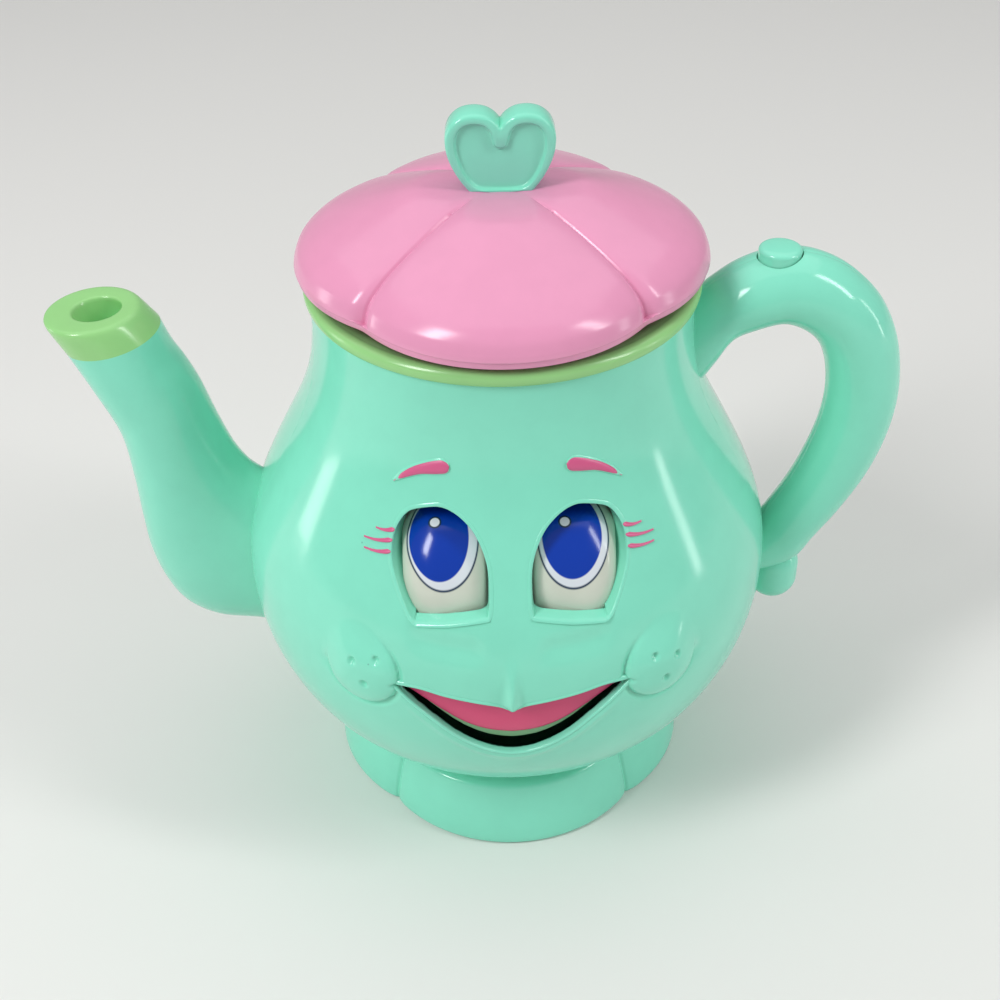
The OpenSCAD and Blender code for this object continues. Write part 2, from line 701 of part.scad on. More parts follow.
module spout_tip() color(LIME) difference() {
    union() {
        skin([edge_ring(spout_end, 0, round_angles),
              edge_ring(mix(spout_end, mouth_end, 0.7), 0, round_angles),
              edge_ring(mix(spout_end, mouth_end, 0.92), tip_round * 0.3, round_angles),
              edge_ring(mouth_end, tip_round, round_angles)]);
        translate(tip_from) rotate([0, tip_tilt, 0]) translate([0, 0, -tip_spigot])
            cylinder(h = tip_spigot + over, r = mouth_bore_r + wall);
    }
    translate(tip_from) rotate([0, tip_tilt, 0]) translate([0, 0, -tip_spigot - over])
        cylinder(h = big, r = mouth_bore_r);
}

// Outline of an upright pin with two round ends, from its lower pole to its upper pole
function pin_outline(r, rise) = concat([for (a = [-90 : 15 : 0]) [r * cos(a), r * sin(a)]],
    [for (a = [0 : 15 : 90]) [r * cos(a), rise + r * sin(a)]]);

module root_web(half, z) translate([0, 0, z]) along_x(half, 0, web_t);

// One half of the handle; keep is -1 for the front half and 1 for the rear half
module other_half(keep) if (keep > 0) before(0); else behind(0);
module handle_part(keep) color(MINT) difference() {
    union() {
        difference() {
            tube_solid(handle_line, 0);
            tube_solid([for (i = [0 : len(handle_line) - 2]) handle_line[i]], wall);
            outer_solid();
            other_half(keep);
        }
        difference() {
            union() {
                slab_x(neck_r - handle_slot_in, neck_r + handle_slot_out)
                    slot(handle_slot_half - fit, handle_slot + [fit, -fit]);
                translate([neck_r + handle_slot_out, 0, 0])
                    root_web(handle_web_r, (handle_slot[0] + handle_slot[1]) / 2);
            }
            slab_x(0, big) slot(handle_slot_half - wall, handle_slot + [wall, -wall]);
            other_half(keep);
        }
        difference() {
            union() {
                translate([0, 0, root_peg_z])
                    along_x(root_peg_r - fit, belly_r - root_peg_in, belly_r + root_peg_out);
                difference() {
                    translate([belly_r + root_web_out, 0, 0]) root_web(root_web_r, root_peg_z);
                    outer_solid();
                }
                difference() {
                    translate([belly_r + ball_out, 0, handle_low_z + ball_up]) rotate_extrude()
                        polygon(pin_outline(ball_r, ball_rise));
                    outer_solid();
                }
            }
            other_half(keep);
        }
    }
    translate([button_x, 0, handle_top_z - flange_drop]) cylinder(h = big, r = button_r + hole_gap);
}

module handle_front() handle_part(-1);
module handle_rear() handle_part(1);

// The guide hangs in the handle under the button, on two wings that reach the handle's sides
module button_guide() color(GREY) translate([button_x, 0, handle_top_z - guide_low_drop]) {
    rotate_extrude() polygon([
        [stem_r + gap, 0], [guide_r + guide_wall_t, 0],
        [guide_r + guide_wall_t, guide_low_drop - guide_top_drop],
        [guide_r, guide_low_drop - guide_top_drop], [guide_r, guide_floor_t], [stem_r + gap, guide_floor_t]]);
    difference() {
        translate([-wing_half, -wing_reach, wing_up]) cube([2 * wing_half, 2 * wing_reach, wing_t]);
        translate([0, 0, -over]) cylinder(h = big, r = guide_r + guide_wall_t / 2);
    }
}

module thumb_button() color(MINT) translate([button_x, 0, handle_top_z]) rotate_extrude() polygon([
    [0, pad_z + pad_r + gap - handle_top_z], [stem_r, pad_z + pad_r + gap - handle_top_z],
    [stem_r, -flange_drop], [button_r + flange_out, -flange_drop],
    [button_r + flange_out, flange_t - flange_drop], [button_r, flange_t - flange_drop],
    [button_r, button_proud - dome_drop], [button_r * 0.96, button_proud - dome_drop * 0.62],
    [button_r * 0.84, button_proud - dome_drop * 0.3], [button_r * 0.6, button_proud - dome_drop * 0.1],
    [0, button_proud]]);

// Helix of round wire whose ends are ground flat on their seats
wire_rise = spring_high - spring_low - 2 * wire_r;
spring_least = wire_rise / spring_turns - 2 * wire_r;
echo(str("least gap between the spring's turns: ", spring_least));
module button_spring() color(STEEL) difference() {
    skin([for (i = [0 : spring_turns * spring_steps]) let (a = i * 360 / spring_steps)
        [for (j = [0 : spring_sides - 1]) let (b = j * 360 / spring_sides, r = spring_r + wire_r * cos(b))
            [button_x + r * cos(a), r * sin(a),
             spring_low + wire_r + wire_rise * i / (spring_turns * spring_steps) + wire_r * sin(b)]]]);
    translate([0, 0, spring_low - big]) cylinder(h = big, r = belly_r + handle_reach);
    translate([0, 0, spring_high]) cylinder(h = big, r = belly_r + handle_reach);
}

module push_lever() color(GREY) {
    arm = [for (s = smooth(lever_shares, 2)) [s[0] * (lever_out - pad_back), s[1] * (pad_z - pivot_z)]];
    translate([pivot_x, 0, pivot_z]) difference() {
        union() {
            along_y(lever_hub_r, -lever_hub_half, lever_hub_half);
            slab_y(lever_half)
                polygon(concat(sideways(arm, lever_t / 2), reversed(sideways(arm, -lever_t / 2))));
            translate([lever_out - pad_back, 0, pad_z - pivot_z]) along_y(pad_r, -lever_half, lever_half);
            translate([0, 0, -tongue_t / 2]) linear_extrude(tongue_t) polygon([
                [0, lever_half], [0, -lever_half], [-lever_hub_r, -lever_half],
                [tongue_out - pivot_x, -rod_y - tongue_half],
                [-pivot_x - tongue_past, -rod_y - tongue_half],
                [-pivot_x - tongue_past, tongue_half - rod_y],
                [tongue_out - pivot_x, tongue_half - rod_y], [-2 * lever_hub_r, lever_half]]);
        }
        along_y(pin_r + run, -big / 2, big / 2);
    }
}

module lever_pin() color(STEEL) translate([pivot_x, 0, pivot_z])
    along_y(pin_r, -lever_hub_half - gap - ear_t, lever_hub_half + gap + ear_t);

// Outline of a slot along Y in the rod, that leaves a pin or tongue its running gap
module rod_slot(y, z, half_len, half_h)
    translate([-y - half_len, z - half_h]) square([2 * half_len, 2 * half_h]);

module pull_rod() color(GREY) translate([-rod_t / 2, 0, 0]) slab_x(0, rod_t) difference() {
    low = jaw_crank_pin[1] - rod_end;
    high = pivot_z + rod_end;
    union() {
        translate([-rod_y - rod_w / 2, low]) square([rod_w, high - low]);
        translate([-crank_pin[0] - rod_end, crank_pin[1] - finger_h / 2])
            square([crank_pin[0] + rod_end - rod_y, finger_h]);
    }
    rod_slot(rod_y, pivot_z, slot_len / 2, tongue_t / 2 + gap + run);
    rod_slot(jaw_crank_pin[0], jaw_crank_pin[1], slot_len / 2, crank_pin_r + gap);
    rod_slot(crank_pin[0], crank_pin[1], slot_len / 2, crank_pin_r + gap);
}

// A rolling eye turned about X: shares of its radius and of its width, from the nose outward
eye_shares = [[0.86, 0], [0.93, 0.025], [0.97, 0.07], [0.995, 0.18], [1, 0.35], [1, 0.5], [0.985, 0.65],
              [0.94, 0.78], [0.87, 0.89], [0.79, 0.97], [0.74, 1]];
eye_wall = 1.8;
eye_hub_r = 3.8;
eye_back = 6;
eye_line = smooth([for (s = eye_shares) [s[0] * eye_r, s[1] * eye_w]], 2);
eye_hollow = [for (p = sideways(eye_line, eye_wall)) if (p[1] > eye_wall && p[1] < eye_w - eye_wall) p];

module eye() translate([0, -eye_y, eye_z]) difference() {
    rotate([0, 90, 0]) rotate_extrude() {
        difference() {
            polygon(concat([[pin_r + fit, 0]], eye_line, [[pin_r + fit, eye_w]]));
            polygon(concat([[eye_hub_r, eye_wall], [eye_hollow[0][0], eye_wall]], eye_hollow,
                [[eye_hollow[len(eye_hollow) - 1][0], eye_w - eye_wall], [eye_hub_r, eye_w - eye_wall]]));
        }
    }
    behind(eye_back);
}
module eye_right() color(IVORY) translate([eye_in, 0, 0]) eye();
module eye_left() color(IVORY) mirror([1, 0, 0]) translate([eye_in, 0, 0]) eye();

module eye_shaft() color(STEEL) translate([0, -eye_y, eye_z])
    along_x(pin_r, -ear_in - chassis_ear_t - gap, ear_in + chassis_ear_t + gap);

// A crank cheek beside the rod with a pin through it: hub, arm and pin, hinge first
module crank(hinge, pin, hub_r, t) {
    way = pin - hinge;
    side = rod_t / 2 + crank_gap;
    slab_x(side, side + t) difference() {
        union() {
            translate([-hinge[0], hinge[1]]) circle(hub_r);
            translate([-pin[0], pin[1]]) circle(crank_pin_r + slot_end / 2);
            translate([-hinge[0], hinge[1]]) rotate(atan2(way[1], -way[0]))
                translate([0, -crank_pin_r - slot_end / 2]) square([norm(way), 2 * crank_pin_r + slot_end]);
        }
        translate([-hinge[0], hinge[1]]) circle(pin_r + fit);
    }
    translate([0, -pin[0], pin[1]]) along_x(crank_pin_r, -rod_t / 2 - pin_past, side + over);
}

module eye_crank() color(GREY) crank([eye_y, eye_z], crank_pin, crank_hub_r, crank_t);

// Jaw: both shells follow a circle about the jaw's pin, so they clear the face as they swing
function jaw_line(r) = [for (i = [-6 : 7]) let (h = i * mouth_h / 10)
    [jaw_y + sqrt(r * r - h * h), jaw_z + h]];
module jaw_skin(r, t) rotate_extrude() polygon(concat(jaw_line(r), reversed(jaw_line(r - t))));
function jaw_outline(low, high) = let (half = concat(
    [for (s = smooth(high, 2)) mouth_point(s)], [for (s = smooth(low, 2)) mouth_point(s)]))
    concat(half, mirrored(half));
module lip_outline() polygon(jaw_outline(lip_low_line_shares, carrier_top_shares));

module jaw_carrier() color(LIME) difference() {
    union() {
        intersection() {
            jaw_skin(jaw_r - rim_back, carrier_t);
            face_cut(jaw_y + wall, big) polygon(jaw_outline(carrier_low_shares, carrier_top_shares));
        }
        translate([0, -jaw_y, jaw_z]) along_x(jaw_hub_r, -jaw_hub_half, jaw_hub_half);
        both_sides() intersection() {
            slab_x(jaw_hub_half - jaw_arm_t, jaw_hub_half) polygon([
                [-jaw_y, jaw_z - jaw_hub_r], [-jaw_y, jaw_z + jaw_hub_r],
                [-jaw_y - jaw_r, jaw_arm_z], [-jaw_y - jaw_r, jaw_arm_z - jaw_arm_h]]);
            jaw_round();
        }
        crank([jaw_y, jaw_z], jaw_crank_pin, jaw_hub_r, crank_t);
    }
    translate([0, -jaw_y, jaw_z]) along_x(pin_r + run, -big / 2, big / 2);
    intersection() {
        jaw_skin(jaw_r, lip_t);
        face_cut(jaw_y + wall, big) lip_outline();
    }
}
module jaw_round() rotate_extrude() polygon(concat([[0, jaw_line(jaw_r)[0][1]]],
    jaw_line(jaw_r - rim_back - carrier_t / 2), [[0, jaw_line(jaw_r)[13][1]]]));

module lower_lip() color(ROSE) intersection() {
    jaw_skin(jaw_r, lip_t);
    face_cut(jaw_y + wall, big) lip_outline();
}

module jaw_pin() color(STEEL) translate([0, -jaw_y, jaw_z])
    along_x(pin_r, -ear_in - chassis_ear_t, ear_in + chassis_ear_t);

module chassis_ear(y, z, bore_r) both_sides() slab_x(ear_in, ear_in + chassis_ear_t) difference() {
    union() {
        translate([-y, z]) circle(ear_half_h);
        translate([-y, z - ear_half_h]) square([y - plate_y, 2 * ear_half_h]);
    }
    translate([-y, z]) circle(bore_r);
}

module face_chassis() color(GREY) difference() {
    union() {
        face_cut(plate_y - plate_t, plate_y) {
            translate([-plate_half, plate_z[0]]) square([2 * plate_half, plate_z[1] - plate_z[0]]);
            for (z = wing_zs) {
                translate([-wing_x, z - wing_r]) square([2 * wing_x, 2 * wing_r]);
                for (side = [-1, 1]) translate([side * wing_x, z]) circle(wing_r);
            }
        }
        chassis_ear(eye_y, eye_z, pin_r + run);
        chassis_ear(jaw_y, jaw_z, pin_r + fit);
        for (z = guide_zs) translate([-guide_half, -plate_y + plate_t - over, z])
            cube([2 * guide_half, plate_y - plate_t + over - rod_y + rod_w / 2 + gap + guide_wall,
                  guide_h]);
    }
    for (z = guide_zs) translate([-rod_t / 2 - gap, -rod_y - rod_w / 2 - gap, z - over])
        cube([rod_t + 2 * gap, rod_w + 2 * gap, guide_h + 2 * over]);
    translate([-finger_slot_half, -plate_y - over, finger_slot[0]])
        cube([2 * finger_slot_half, plate_t + 2 * over, finger_slot[1] - finger_slot[0]]);
    translate([0, -plate_y - over, jaw_z - crank_slot_half])
        cube([rod_t / 2 + crank_gap + crank_t + gap, plate_t + 2 * over, 2 * crank_slot_half]);
    both_sides() for (z = wing_zs) translate([wing_x, 0, z]) along_y(pilot_r + run, -big / 2, 0);
}

module chassis_screws() color(STEEL) both_sides() for (z = wing_zs)
    translate([wing_x, 0, z]) screw(plate_t - plate_y, plate_t + screw_bite, head_r, head_h);

// Lid: four pillows, each turned about its own axis, hollow and closed below by the plug
pillow_line = concat([for (s = smooth(pillow_shares, 1)) [s[0] * lid_lobe_r, lid_z + s[1] * lid_rise]],
    [[lid_lobe_r, lid_z + skirt_h]]);
pillow_hollow = concat([[0, crown_z - wall]], [for (p = sideways(pillow_line, -wall)) if (p[0] > wall) p]);
module pillows(line, low, r)
    for (a = [0 : 90 : 270]) rotate([0, 0, a]) translate([lid_lobe_out, 0, 0])
        rotate_extrude() polygon(concat([[0, low]], line, [[r, low]]));

module lid_dome() color(PINK) difference() {
    union() {
        difference() {
            pillows(concat(pillow_line, [[lid_lobe_r - skirt_in, lid_z + skirt_h]]), lid_z,
                lid_lobe_r - skirt_in);
            pillows(pillow_hollow, lid_z - over, lid_lobe_r - wall);
        }
        translate([0, 0, boss_low]) cylinder(h = knob_boss_h + wall / 2, r = knob_boss_r);
    }
    translate([0, 0, lid_z]) cylinder(h = big, r = peg_r + fit);
    heart_block(0);
}

module lid_plug() color(PINK) {
    cup_r = pocket_r - gap;
    difference() {
        union() {
            translate([0, 0, lid_z + plug_flange_z]) for (a = [0 : 90 : 270]) rotate([0, 0, a])
                translate([lid_lobe_out, 0, 0]) cylinder(h = plug_flange_t, r = lid_lobe_r - wall - fit);
            translate([0, 0, pocket_z + fit]) cylinder(h = lid_z - pocket_z + plug_flange_z, r = cup_r);
        }
        translate([0, 0, pocket_z + fit + plug_wall]) cylinder(h = big, r = cup_r - plug_wall);
    }
}

function heart_outline(shares, n) =
    let (half = [for (s = smooth(shares, n)) [s[0] * heart_w / 2, s[1] * heart_h]])
    concat(half, mirrored(half));
module heart_block(grow) translate([0, 0, heart_z]) slab_y(heart_t / 2 + grow)
    polygon(heart_outline(heart_shares, 2));

module heart_knob() color(MINT) difference() {
    union() {
        heart_block(0);
        translate([0, 0, boss_low + fit]) cylinder(h = heart_z - boss_low, r = peg_r);
    }
    for (side = [0, 180]) rotate([0, 0, side]) translate([0, 0, heart_z])
        face_cut(heart_t / 2 - heart_recess, heart_t) polygon(heart_outline(panel_shares, 2));
    translate([0, 0, boss_low - over]) cylinder(h = over + knob_bite + gap, r = pilot_r);
}

module knob_screw() color(STEEL) translate([0, 0, boss_low]) {
    translate([0, 0, -head_h]) cylinder(h = head_h, r = knob_boss_r - over);
    cylinder(h = knob_bite, r = shank_r);
}

face_shell();
rear_shell();
shell_screws();
collar();
foot_ring();
base_plate();
base_screws();
spout();
spout_tip();
handle_front();
handle_rear();
button_guide();
thumb_button();
button_spring();
push_lever();
lever_pin();
pull_rod();
eye_left();
eye_right();
eye_shaft();
eye_crank();
jaw_carrier();
lower_lip();
jaw_pin();
face_chassis();
chassis_screws();
lid_dome();
lid_plug();
heart_knob();
knob_screw();
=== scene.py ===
# Toy teapot with a smiling face: the mouldings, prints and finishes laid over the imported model.
# Work is in millimetres, in the part's frame: Z up, the face looks along -Y, the spout along -X.

import json
import math

import bpy
import numpy as np
from mathutils import Matrix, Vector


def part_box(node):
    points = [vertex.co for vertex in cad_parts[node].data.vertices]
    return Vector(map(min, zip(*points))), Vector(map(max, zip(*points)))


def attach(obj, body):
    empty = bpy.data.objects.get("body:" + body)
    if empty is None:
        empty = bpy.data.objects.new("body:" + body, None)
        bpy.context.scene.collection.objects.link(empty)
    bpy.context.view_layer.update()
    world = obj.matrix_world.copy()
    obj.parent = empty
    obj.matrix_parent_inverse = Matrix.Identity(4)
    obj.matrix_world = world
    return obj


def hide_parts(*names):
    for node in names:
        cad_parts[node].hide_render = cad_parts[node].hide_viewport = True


bl_info = {
    "name": "Smiling toy teapot",
    "version": (1, 0, 0),
    "blender": (4, 5, 0),
    "location": "View3D > Sidebar > Teapot",
    "description": "Builds the mouldings, prints and finishes of a toy teapot with a smiling face",
    "category": "Add Mesh",
}

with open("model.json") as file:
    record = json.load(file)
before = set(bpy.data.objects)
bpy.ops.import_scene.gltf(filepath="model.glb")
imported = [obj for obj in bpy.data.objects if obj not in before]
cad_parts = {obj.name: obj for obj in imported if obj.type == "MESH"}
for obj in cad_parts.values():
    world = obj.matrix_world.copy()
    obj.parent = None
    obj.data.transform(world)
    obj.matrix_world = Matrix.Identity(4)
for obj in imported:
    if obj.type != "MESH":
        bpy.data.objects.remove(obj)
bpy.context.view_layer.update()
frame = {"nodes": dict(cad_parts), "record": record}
MM = 0.001

# Heights and radii that the pieces share, in millimetres, read from the frame where a node has them
FOOT_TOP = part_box("foot_ring")[1].z / MM
NECK_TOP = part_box("face_shell")[1].z / MM
LID_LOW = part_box("lid_dome")[0].z / MM
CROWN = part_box("lid_dome")[1].z / MM
HEART_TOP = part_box("heart_knob")[1].z / MM
BELLY_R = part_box("rear_shell")[1].y / MM
SEAM_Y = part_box("face_shell")[1].y / MM
BUTTON_LOW, BUTTON_TOP = (corner.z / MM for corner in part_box("thumb_button"))
SPOUT_REACH = 120.8
HANDLE_REACH = 108.0
HANDLE_TOP = 166.8
NECK_R = 50.0
BELLY_Z = 77.0
WALL = 2.2
EYE_AXIS = (-40.584, 101.0)
EYE_R = 22.4
EYE_IN = 5.2
EYE_W = 21.6
WINDOW_IN = 5.1
WINDOW_W = 24.4
SILL_Z = 99.8
WINDOW_H = 27.3
LASH_IN = 5.5
LASH_W = 22.0
LASH_Z = 101.1
LASH_H = 26.0
MOUTH_HALF = 30.5
MOUTH_LOW = 59.6
MOUTH_H = 22.4
JAW_AXIS = (-35.984, 72.0)
JAW_R = 34.6
LID_LOBE_R = 40.9
LID_LOBE_OUT = 12.3
SKIRT_H = 2.6
SKIRT_IN = 0.5
FOOT_LOBE_R = 43.0
FOOT_LOBE_OUT = 10.3
SPIGOT_R = 40.0
SPOUT_LOW = 45.0
SPOUT_TOP = 153.4
SPOUT_HALF = 14.6
BORE_R = 6.2
BORE_NEAR = 1.5
HANDLE_LOW = 54.0
HANDLE_HALF = 11.0
BUTTON_X = 71.645
BUTTON_R = 5.65
HEART_W = 27.0
HEART_H = 20.4
HEART_T = 8.0


class TeapotSizes(bpy.types.PropertyGroup):
    """Small sizes of the mouldings that show, in metres."""

    window_edge: bpy.props.FloatProperty(
        name="Window edge", description="Radius of the rounded edge of the eye windows",
        default=0.9 * MM, min=0.2 * MM, max=2 * MM, unit="LENGTH")
    mouth_edge: bpy.props.FloatProperty(
        name="Mouth edge", description="Radius of the rounded edge of the mouth slot",
        default=1.1 * MM, min=0.2 * MM, max=2 * MM, unit="LENGTH")
    cheek_rise: bpy.props.FloatProperty(
        name="Cheek rise", description="Height of the cheeks above the body",
        default=2.7 * MM, min=0.2 * MM, max=4 * MM, unit="LENGTH")
    crease: bpy.props.FloatProperty(
        name="Crease softness", description="Width over which two pillows or foot lobes run together",
        default=0.35 * MM, min=0.1 * MM, max=2 * MM, unit="LENGTH")
    iris_half: bpy.props.FloatVectorProperty(
        name="Iris", description="Half width and half height of the printed iris",
        default=(7.5 * MM, 11.4 * MM), size=2, unit="LENGTH")
    ring_half: bpy.props.FloatVectorProperty(
        name="Iris ring", description="Half width and half height of the printed ring round the iris",
        default=(9.1 * MM, 13.9 * MM), size=2, unit="LENGTH")


class TeapotColours(bpy.types.PropertyGroup):
    """Colours of plastics, paints and prints, as sRGB hex."""

    mint: bpy.props.StringProperty(
        name="Mint", description="Body, spout, handle, foot and heart", default="#88E4C8")
    lime: bpy.props.StringProperty(name="Lime", description="Collar and spout's rim", default="#98D487")
    pink: bpy.props.StringProperty(name="Pink", description="Lid", default="#E79ABC")
    rose: bpy.props.StringProperty(name="Rose", description="Lip", default="#DE4A78")
    paint: bpy.props.StringProperty(name="Paint", description="Brows and lashes", default="#D65C8A")
    ivory: bpy.props.StringProperty(name="Ivory", description="Eyes", default="#D3D7C9")
    iris: bpy.props.StringProperty(name="Iris", description="Printed iris", default="#0038A8")
    navy: bpy.props.StringProperty(name="Navy", description="Printed outlines of the iris", default="#16324F")
    band: bpy.props.StringProperty(name="Band", description="Pale band round the iris", default="#DDE3EA")
    jaw: bpy.props.StringProperty(name="Jaw", description="Moulding behind the lip", default="#86B286")
    floor: bpy.props.StringProperty(name="Floor", description="Studio floor", default="#E6E5E2")


def linear(code):
    """The linear colour of an sRGB hex value."""
    parts = [int(code[i:i + 2], 16) / 255 for i in (1, 3, 5)]
    return [c / 12.92 if c <= 0.04045 else ((c + 0.055) / 1.055) ** 2.4 for c in parts] + [1.0]


def sizes():
    return bpy.context.scene.teapot_sizes


def colours():
    return bpy.context.scene.teapot_colours


def node(tree, kind, links=None, **settings):
    """Adds a shader node; links maps an input's name or index to a value or another node's output."""
    made = tree.nodes.new(kind)
    for key, value in settings.items():
        setattr(made, key, value)
    for key, value in (links or {}).items():
        if isinstance(value, bpy.types.NodeSocket):
            tree.links.new(value, made.inputs[key])
        else:
            made.inputs[key].default_value = value
    return made


def ramp(tree, value, low, high, out_low=0.0, out_high=1.0):
    """Maps a value from one range to another, smoothly, clamped at both ends."""
    return node(tree, "ShaderNodeMapRange", {
        "Value": value, "From Min": low, "From Max": high, "To Min": out_low, "To Max": out_high,
    }, interpolation_type="SMOOTHSTEP").outputs["Result"]


def mixed(tree, factor, a, b):
    """One colour laid over another by a factor."""
    return node(tree, "ShaderNodeMix", {"Factor": factor, 6: a, 7: b}, data_type="RGBA").outputs[2]


def workings(mat):
    """A material's node tree, its shader and the object coordinates for its textures."""
    mat.use_nodes = True
    tree = mat.node_tree
    return tree, tree.nodes["Principled BSDF"], node(tree, "ShaderNodeTexCoord").outputs["Object"]


def moulded(name, code, roughness=0.13, haze=0.015):
    """Injection-moulded ABS in a polished mould: a clear gloss over an even colour, with a faint
    cloudiness 9 mm wide and fine handling marks 4 mm wide that break up the highlight."""
    mat = bpy.data.materials.new(name)
    tree, shader, place = workings(mat)
    shader.inputs["IOR"].default_value = 1.5
    cloud = node(tree, "ShaderNodeTexNoise", {
        "Vector": place, "Scale": 1 / (9 * MM), "Detail": 3.0, "Roughness": 0.55}).outputs["Fac"]
    shade = ramp(tree, cloud, 0.35, 0.65, 1 - haze, 1 + haze * 0.4)
    base = node(tree, "ShaderNodeVectorMath", {0: linear(code)[:3], "Scale": shade}, operation="SCALE")
    fine = node(tree, "ShaderNodeTexNoise", {
        "Vector": place, "Scale": 1 / (4 * MM), "Detail": 2.0, "Roughness": 0.6}).outputs["Fac"]
    tree.links.new(base.outputs[0], shader.inputs["Base Color"])
    rough = ramp(tree, fine, 0.3, 0.75, roughness * 0.95, roughness * 1.1)
    tree.links.new(rough, shader.inputs["Roughness"])
    return mat


def specked(mat, code):
    """Adds the few grey specks and rubbed spots of a used toy to a moulded plastic, 12 mm apart."""
    tree, shader, place = workings(mat)
    base = shader.inputs["Base Color"].links[0].from_socket
    cells = node(tree, "ShaderNodeTexVoronoi", {"Vector": place, "Scale": 1 / (12 * MM)})
    pick = node(tree, "ShaderNodeSeparateColor", {"Color": cells.outputs["Color"]}).outputs[0]
    near = ramp(tree, cells.outputs["Distance"], 0.012, 0.03, 0.5, 0.0)
    few = ramp(tree, pick, 0.80, 0.84)
    both = node(tree, "ShaderNodeMath", {0: near, 1: few}, operation="MULTIPLY").outputs[0]
    tree.links.new(mixed(tree, both, base, linear(code)), shader.inputs["Base Color"])
    return mat


def plated(name):
    """Zinc-plated steel of screws, pins and spring wire: bright, with a fine drawn grain."""
    mat = bpy.data.materials.new(name)
    tree, shader, place = workings(mat)
    shader.inputs["Base Color"].default_value = linear("#B9BDC2")
    shader.inputs["Metallic"].default_value = 1.0
    grain = node(tree, "ShaderNodeTexNoise", {"Vector": place, "Scale": 1 / (0.5 * MM)}).outputs["Fac"]
    tree.links.new(ramp(tree, grain, 0.3, 0.7, 0.28, 0.42), shader.inputs["Roughness"])
    return mat


IRIS_UP = 20.5
RING_UP = 20.2
PRINT_EDGE = 0.02


def printed_eye(name, iris_x, ring_x, glint_at):
    """Ivory ABS with a pad-printed iris: a blue oval, a pale band, a navy outline and a white glint
    with a navy edge. The print follows the drum: across along X, up by the arc round its shaft."""
    mat = moulded(name, colours().ivory, roughness=0.16, haze=0.03)
    tree, shader, place = workings(mat)
    base = shader.inputs["Base Color"].links[0].from_socket
    place = node(tree, "ShaderNodeSeparateXYZ", {0: place})

    def maths(kind, a, b=0.0):
        return node(tree, "ShaderNodeMath", {0: a, 1: b}, operation=kind).outputs[0]

    forward = maths("SUBTRACT", EYE_AXIS[0] * MM, place.outputs["Y"])
    up = maths("SUBTRACT", place.outputs["Z"], EYE_AXIS[1] * MM)
    arc = maths("MULTIPLY", maths("ARCTAN2", up, forward), EYE_R * MM)

    def oval(x, height, half):
        """Distance from an oval's centre as a share of its half sizes."""
        across = maths("DIVIDE", maths("SUBTRACT", place.outputs["X"], x * MM), half[0])
        along = maths("DIVIDE", maths("SUBTRACT", arc, height * MM), half[1])
        return maths("SQRT", maths("ADD", maths("MULTIPLY", across, across), maths("MULTIPLY", along, along)))

    soft = PRINT_EDGE
    c = colours()
    iris = oval(iris_x, IRIS_UP, sizes().iris_half)
    ring = oval(ring_x, RING_UP, sizes().ring_half)
    glint = oval(*glint_at, (1 * MM, 1 * MM))
    layers = (
        (ramp(tree, ring, 1 + soft, 1 - soft), linear(c.navy)),
        (ramp(tree, ring, 0.955 + soft, 0.955 - soft), linear(c.band)),
        (ramp(tree, iris, 1 + soft, 1 - soft), linear(c.iris)),
        (ramp(tree, glint, 1.75, 1.6), linear(c.navy)),
        (ramp(tree, glint, 1.3, 1.12), linear("#E9EDF2")),
    )
    for factor, paint in layers:
        base = mixed(tree, factor, base, paint)
    tree.links.new(base, shader.inputs["Base Color"])
    return mat


FINISHES = {}


def finish_of(slot):
    """The material of a slot, made the first time it is asked for."""
    if slot not in FINISHES:
        c = colours()
        makers = {
            "mint_plastic": lambda: specked(moulded("moulded_mint_abs", c.mint), "#5E8C7C"),
            "lime_plastic": lambda: moulded("moulded_lime_abs", c.lime, roughness=0.2),
            "lid_plastic": lambda: specked(moulded("moulded_pink_abs", c.pink, roughness=0.2), "#A8668A"),
            "lip_plastic": lambda: moulded("moulded_rose_abs", c.rose, roughness=0.2),
            "jaw_plastic": lambda: moulded("moulded_green_abs", c.jaw, roughness=0.35),
            "paint": lambda: moulded("pad_painted_rose", c.paint, roughness=0.33),
            "inner_plastic": lambda: moulded("moulded_grey_acetal", "#9FA8A6", roughness=0.45),
            "screw_steel": lambda: plated("zinc_plated_steel"),
            "eye_left": lambda: printed_eye("printed_ivory_abs_left", -17.5, -16.6, (-18.4, 24.4)),
            "eye_right": lambda: printed_eye("printed_ivory_abs_right", 15.6, 15.9, (13.9, 23.7)),
        }
        FINISHES[slot] = makers[slot]()
    return FINISHES[slot]


MINT_SLOTS = ("face_plastic", "foot_plastic", "spout_plastic", "handle_plastic", "button_plastic",
              "heart_plastic")


def finish_name(slot):
    """The finish that a slot of the record takes."""
    if slot in MINT_SLOTS:
        return "mint_plastic"
    return {"spring_steel": "screw_steel"}.get(slot, slot)


def smooth(points, n):
    """A Catmull-Rom curve through the points, with n steps between neighbours."""
    p = np.asarray(points, float)
    ends = np.concatenate([p[:1], p, p[-1:]])
    a, b, c, d = ends[:-3], ends[1:-2], ends[2:-1], ends[3:]
    t = (np.arange(n) / n)[None, :, None]
    a, b, c, d = (q[:, None, :] for q in (a, b, c, d))
    curve = 2 * b + (c - a) * t + (2 * a - 5 * b + 4 * c - d) * t ** 2 + (3 * b - a - 3 * c + d) * t ** 3
    curve = curve / 2
    return np.concatenate([curve.reshape(-1, p.shape[1]), p[-1:]])


def spaced(curve, shares):
    """Points on a curve at shares of its length."""
    run = np.concatenate([[0], np.cumsum(np.linalg.norm(np.diff(curve, axis=0), axis=1))])
    return np.stack([np.interp(shares * run[-1], run, curve[:, k]) for k in (0, 1)], 1)


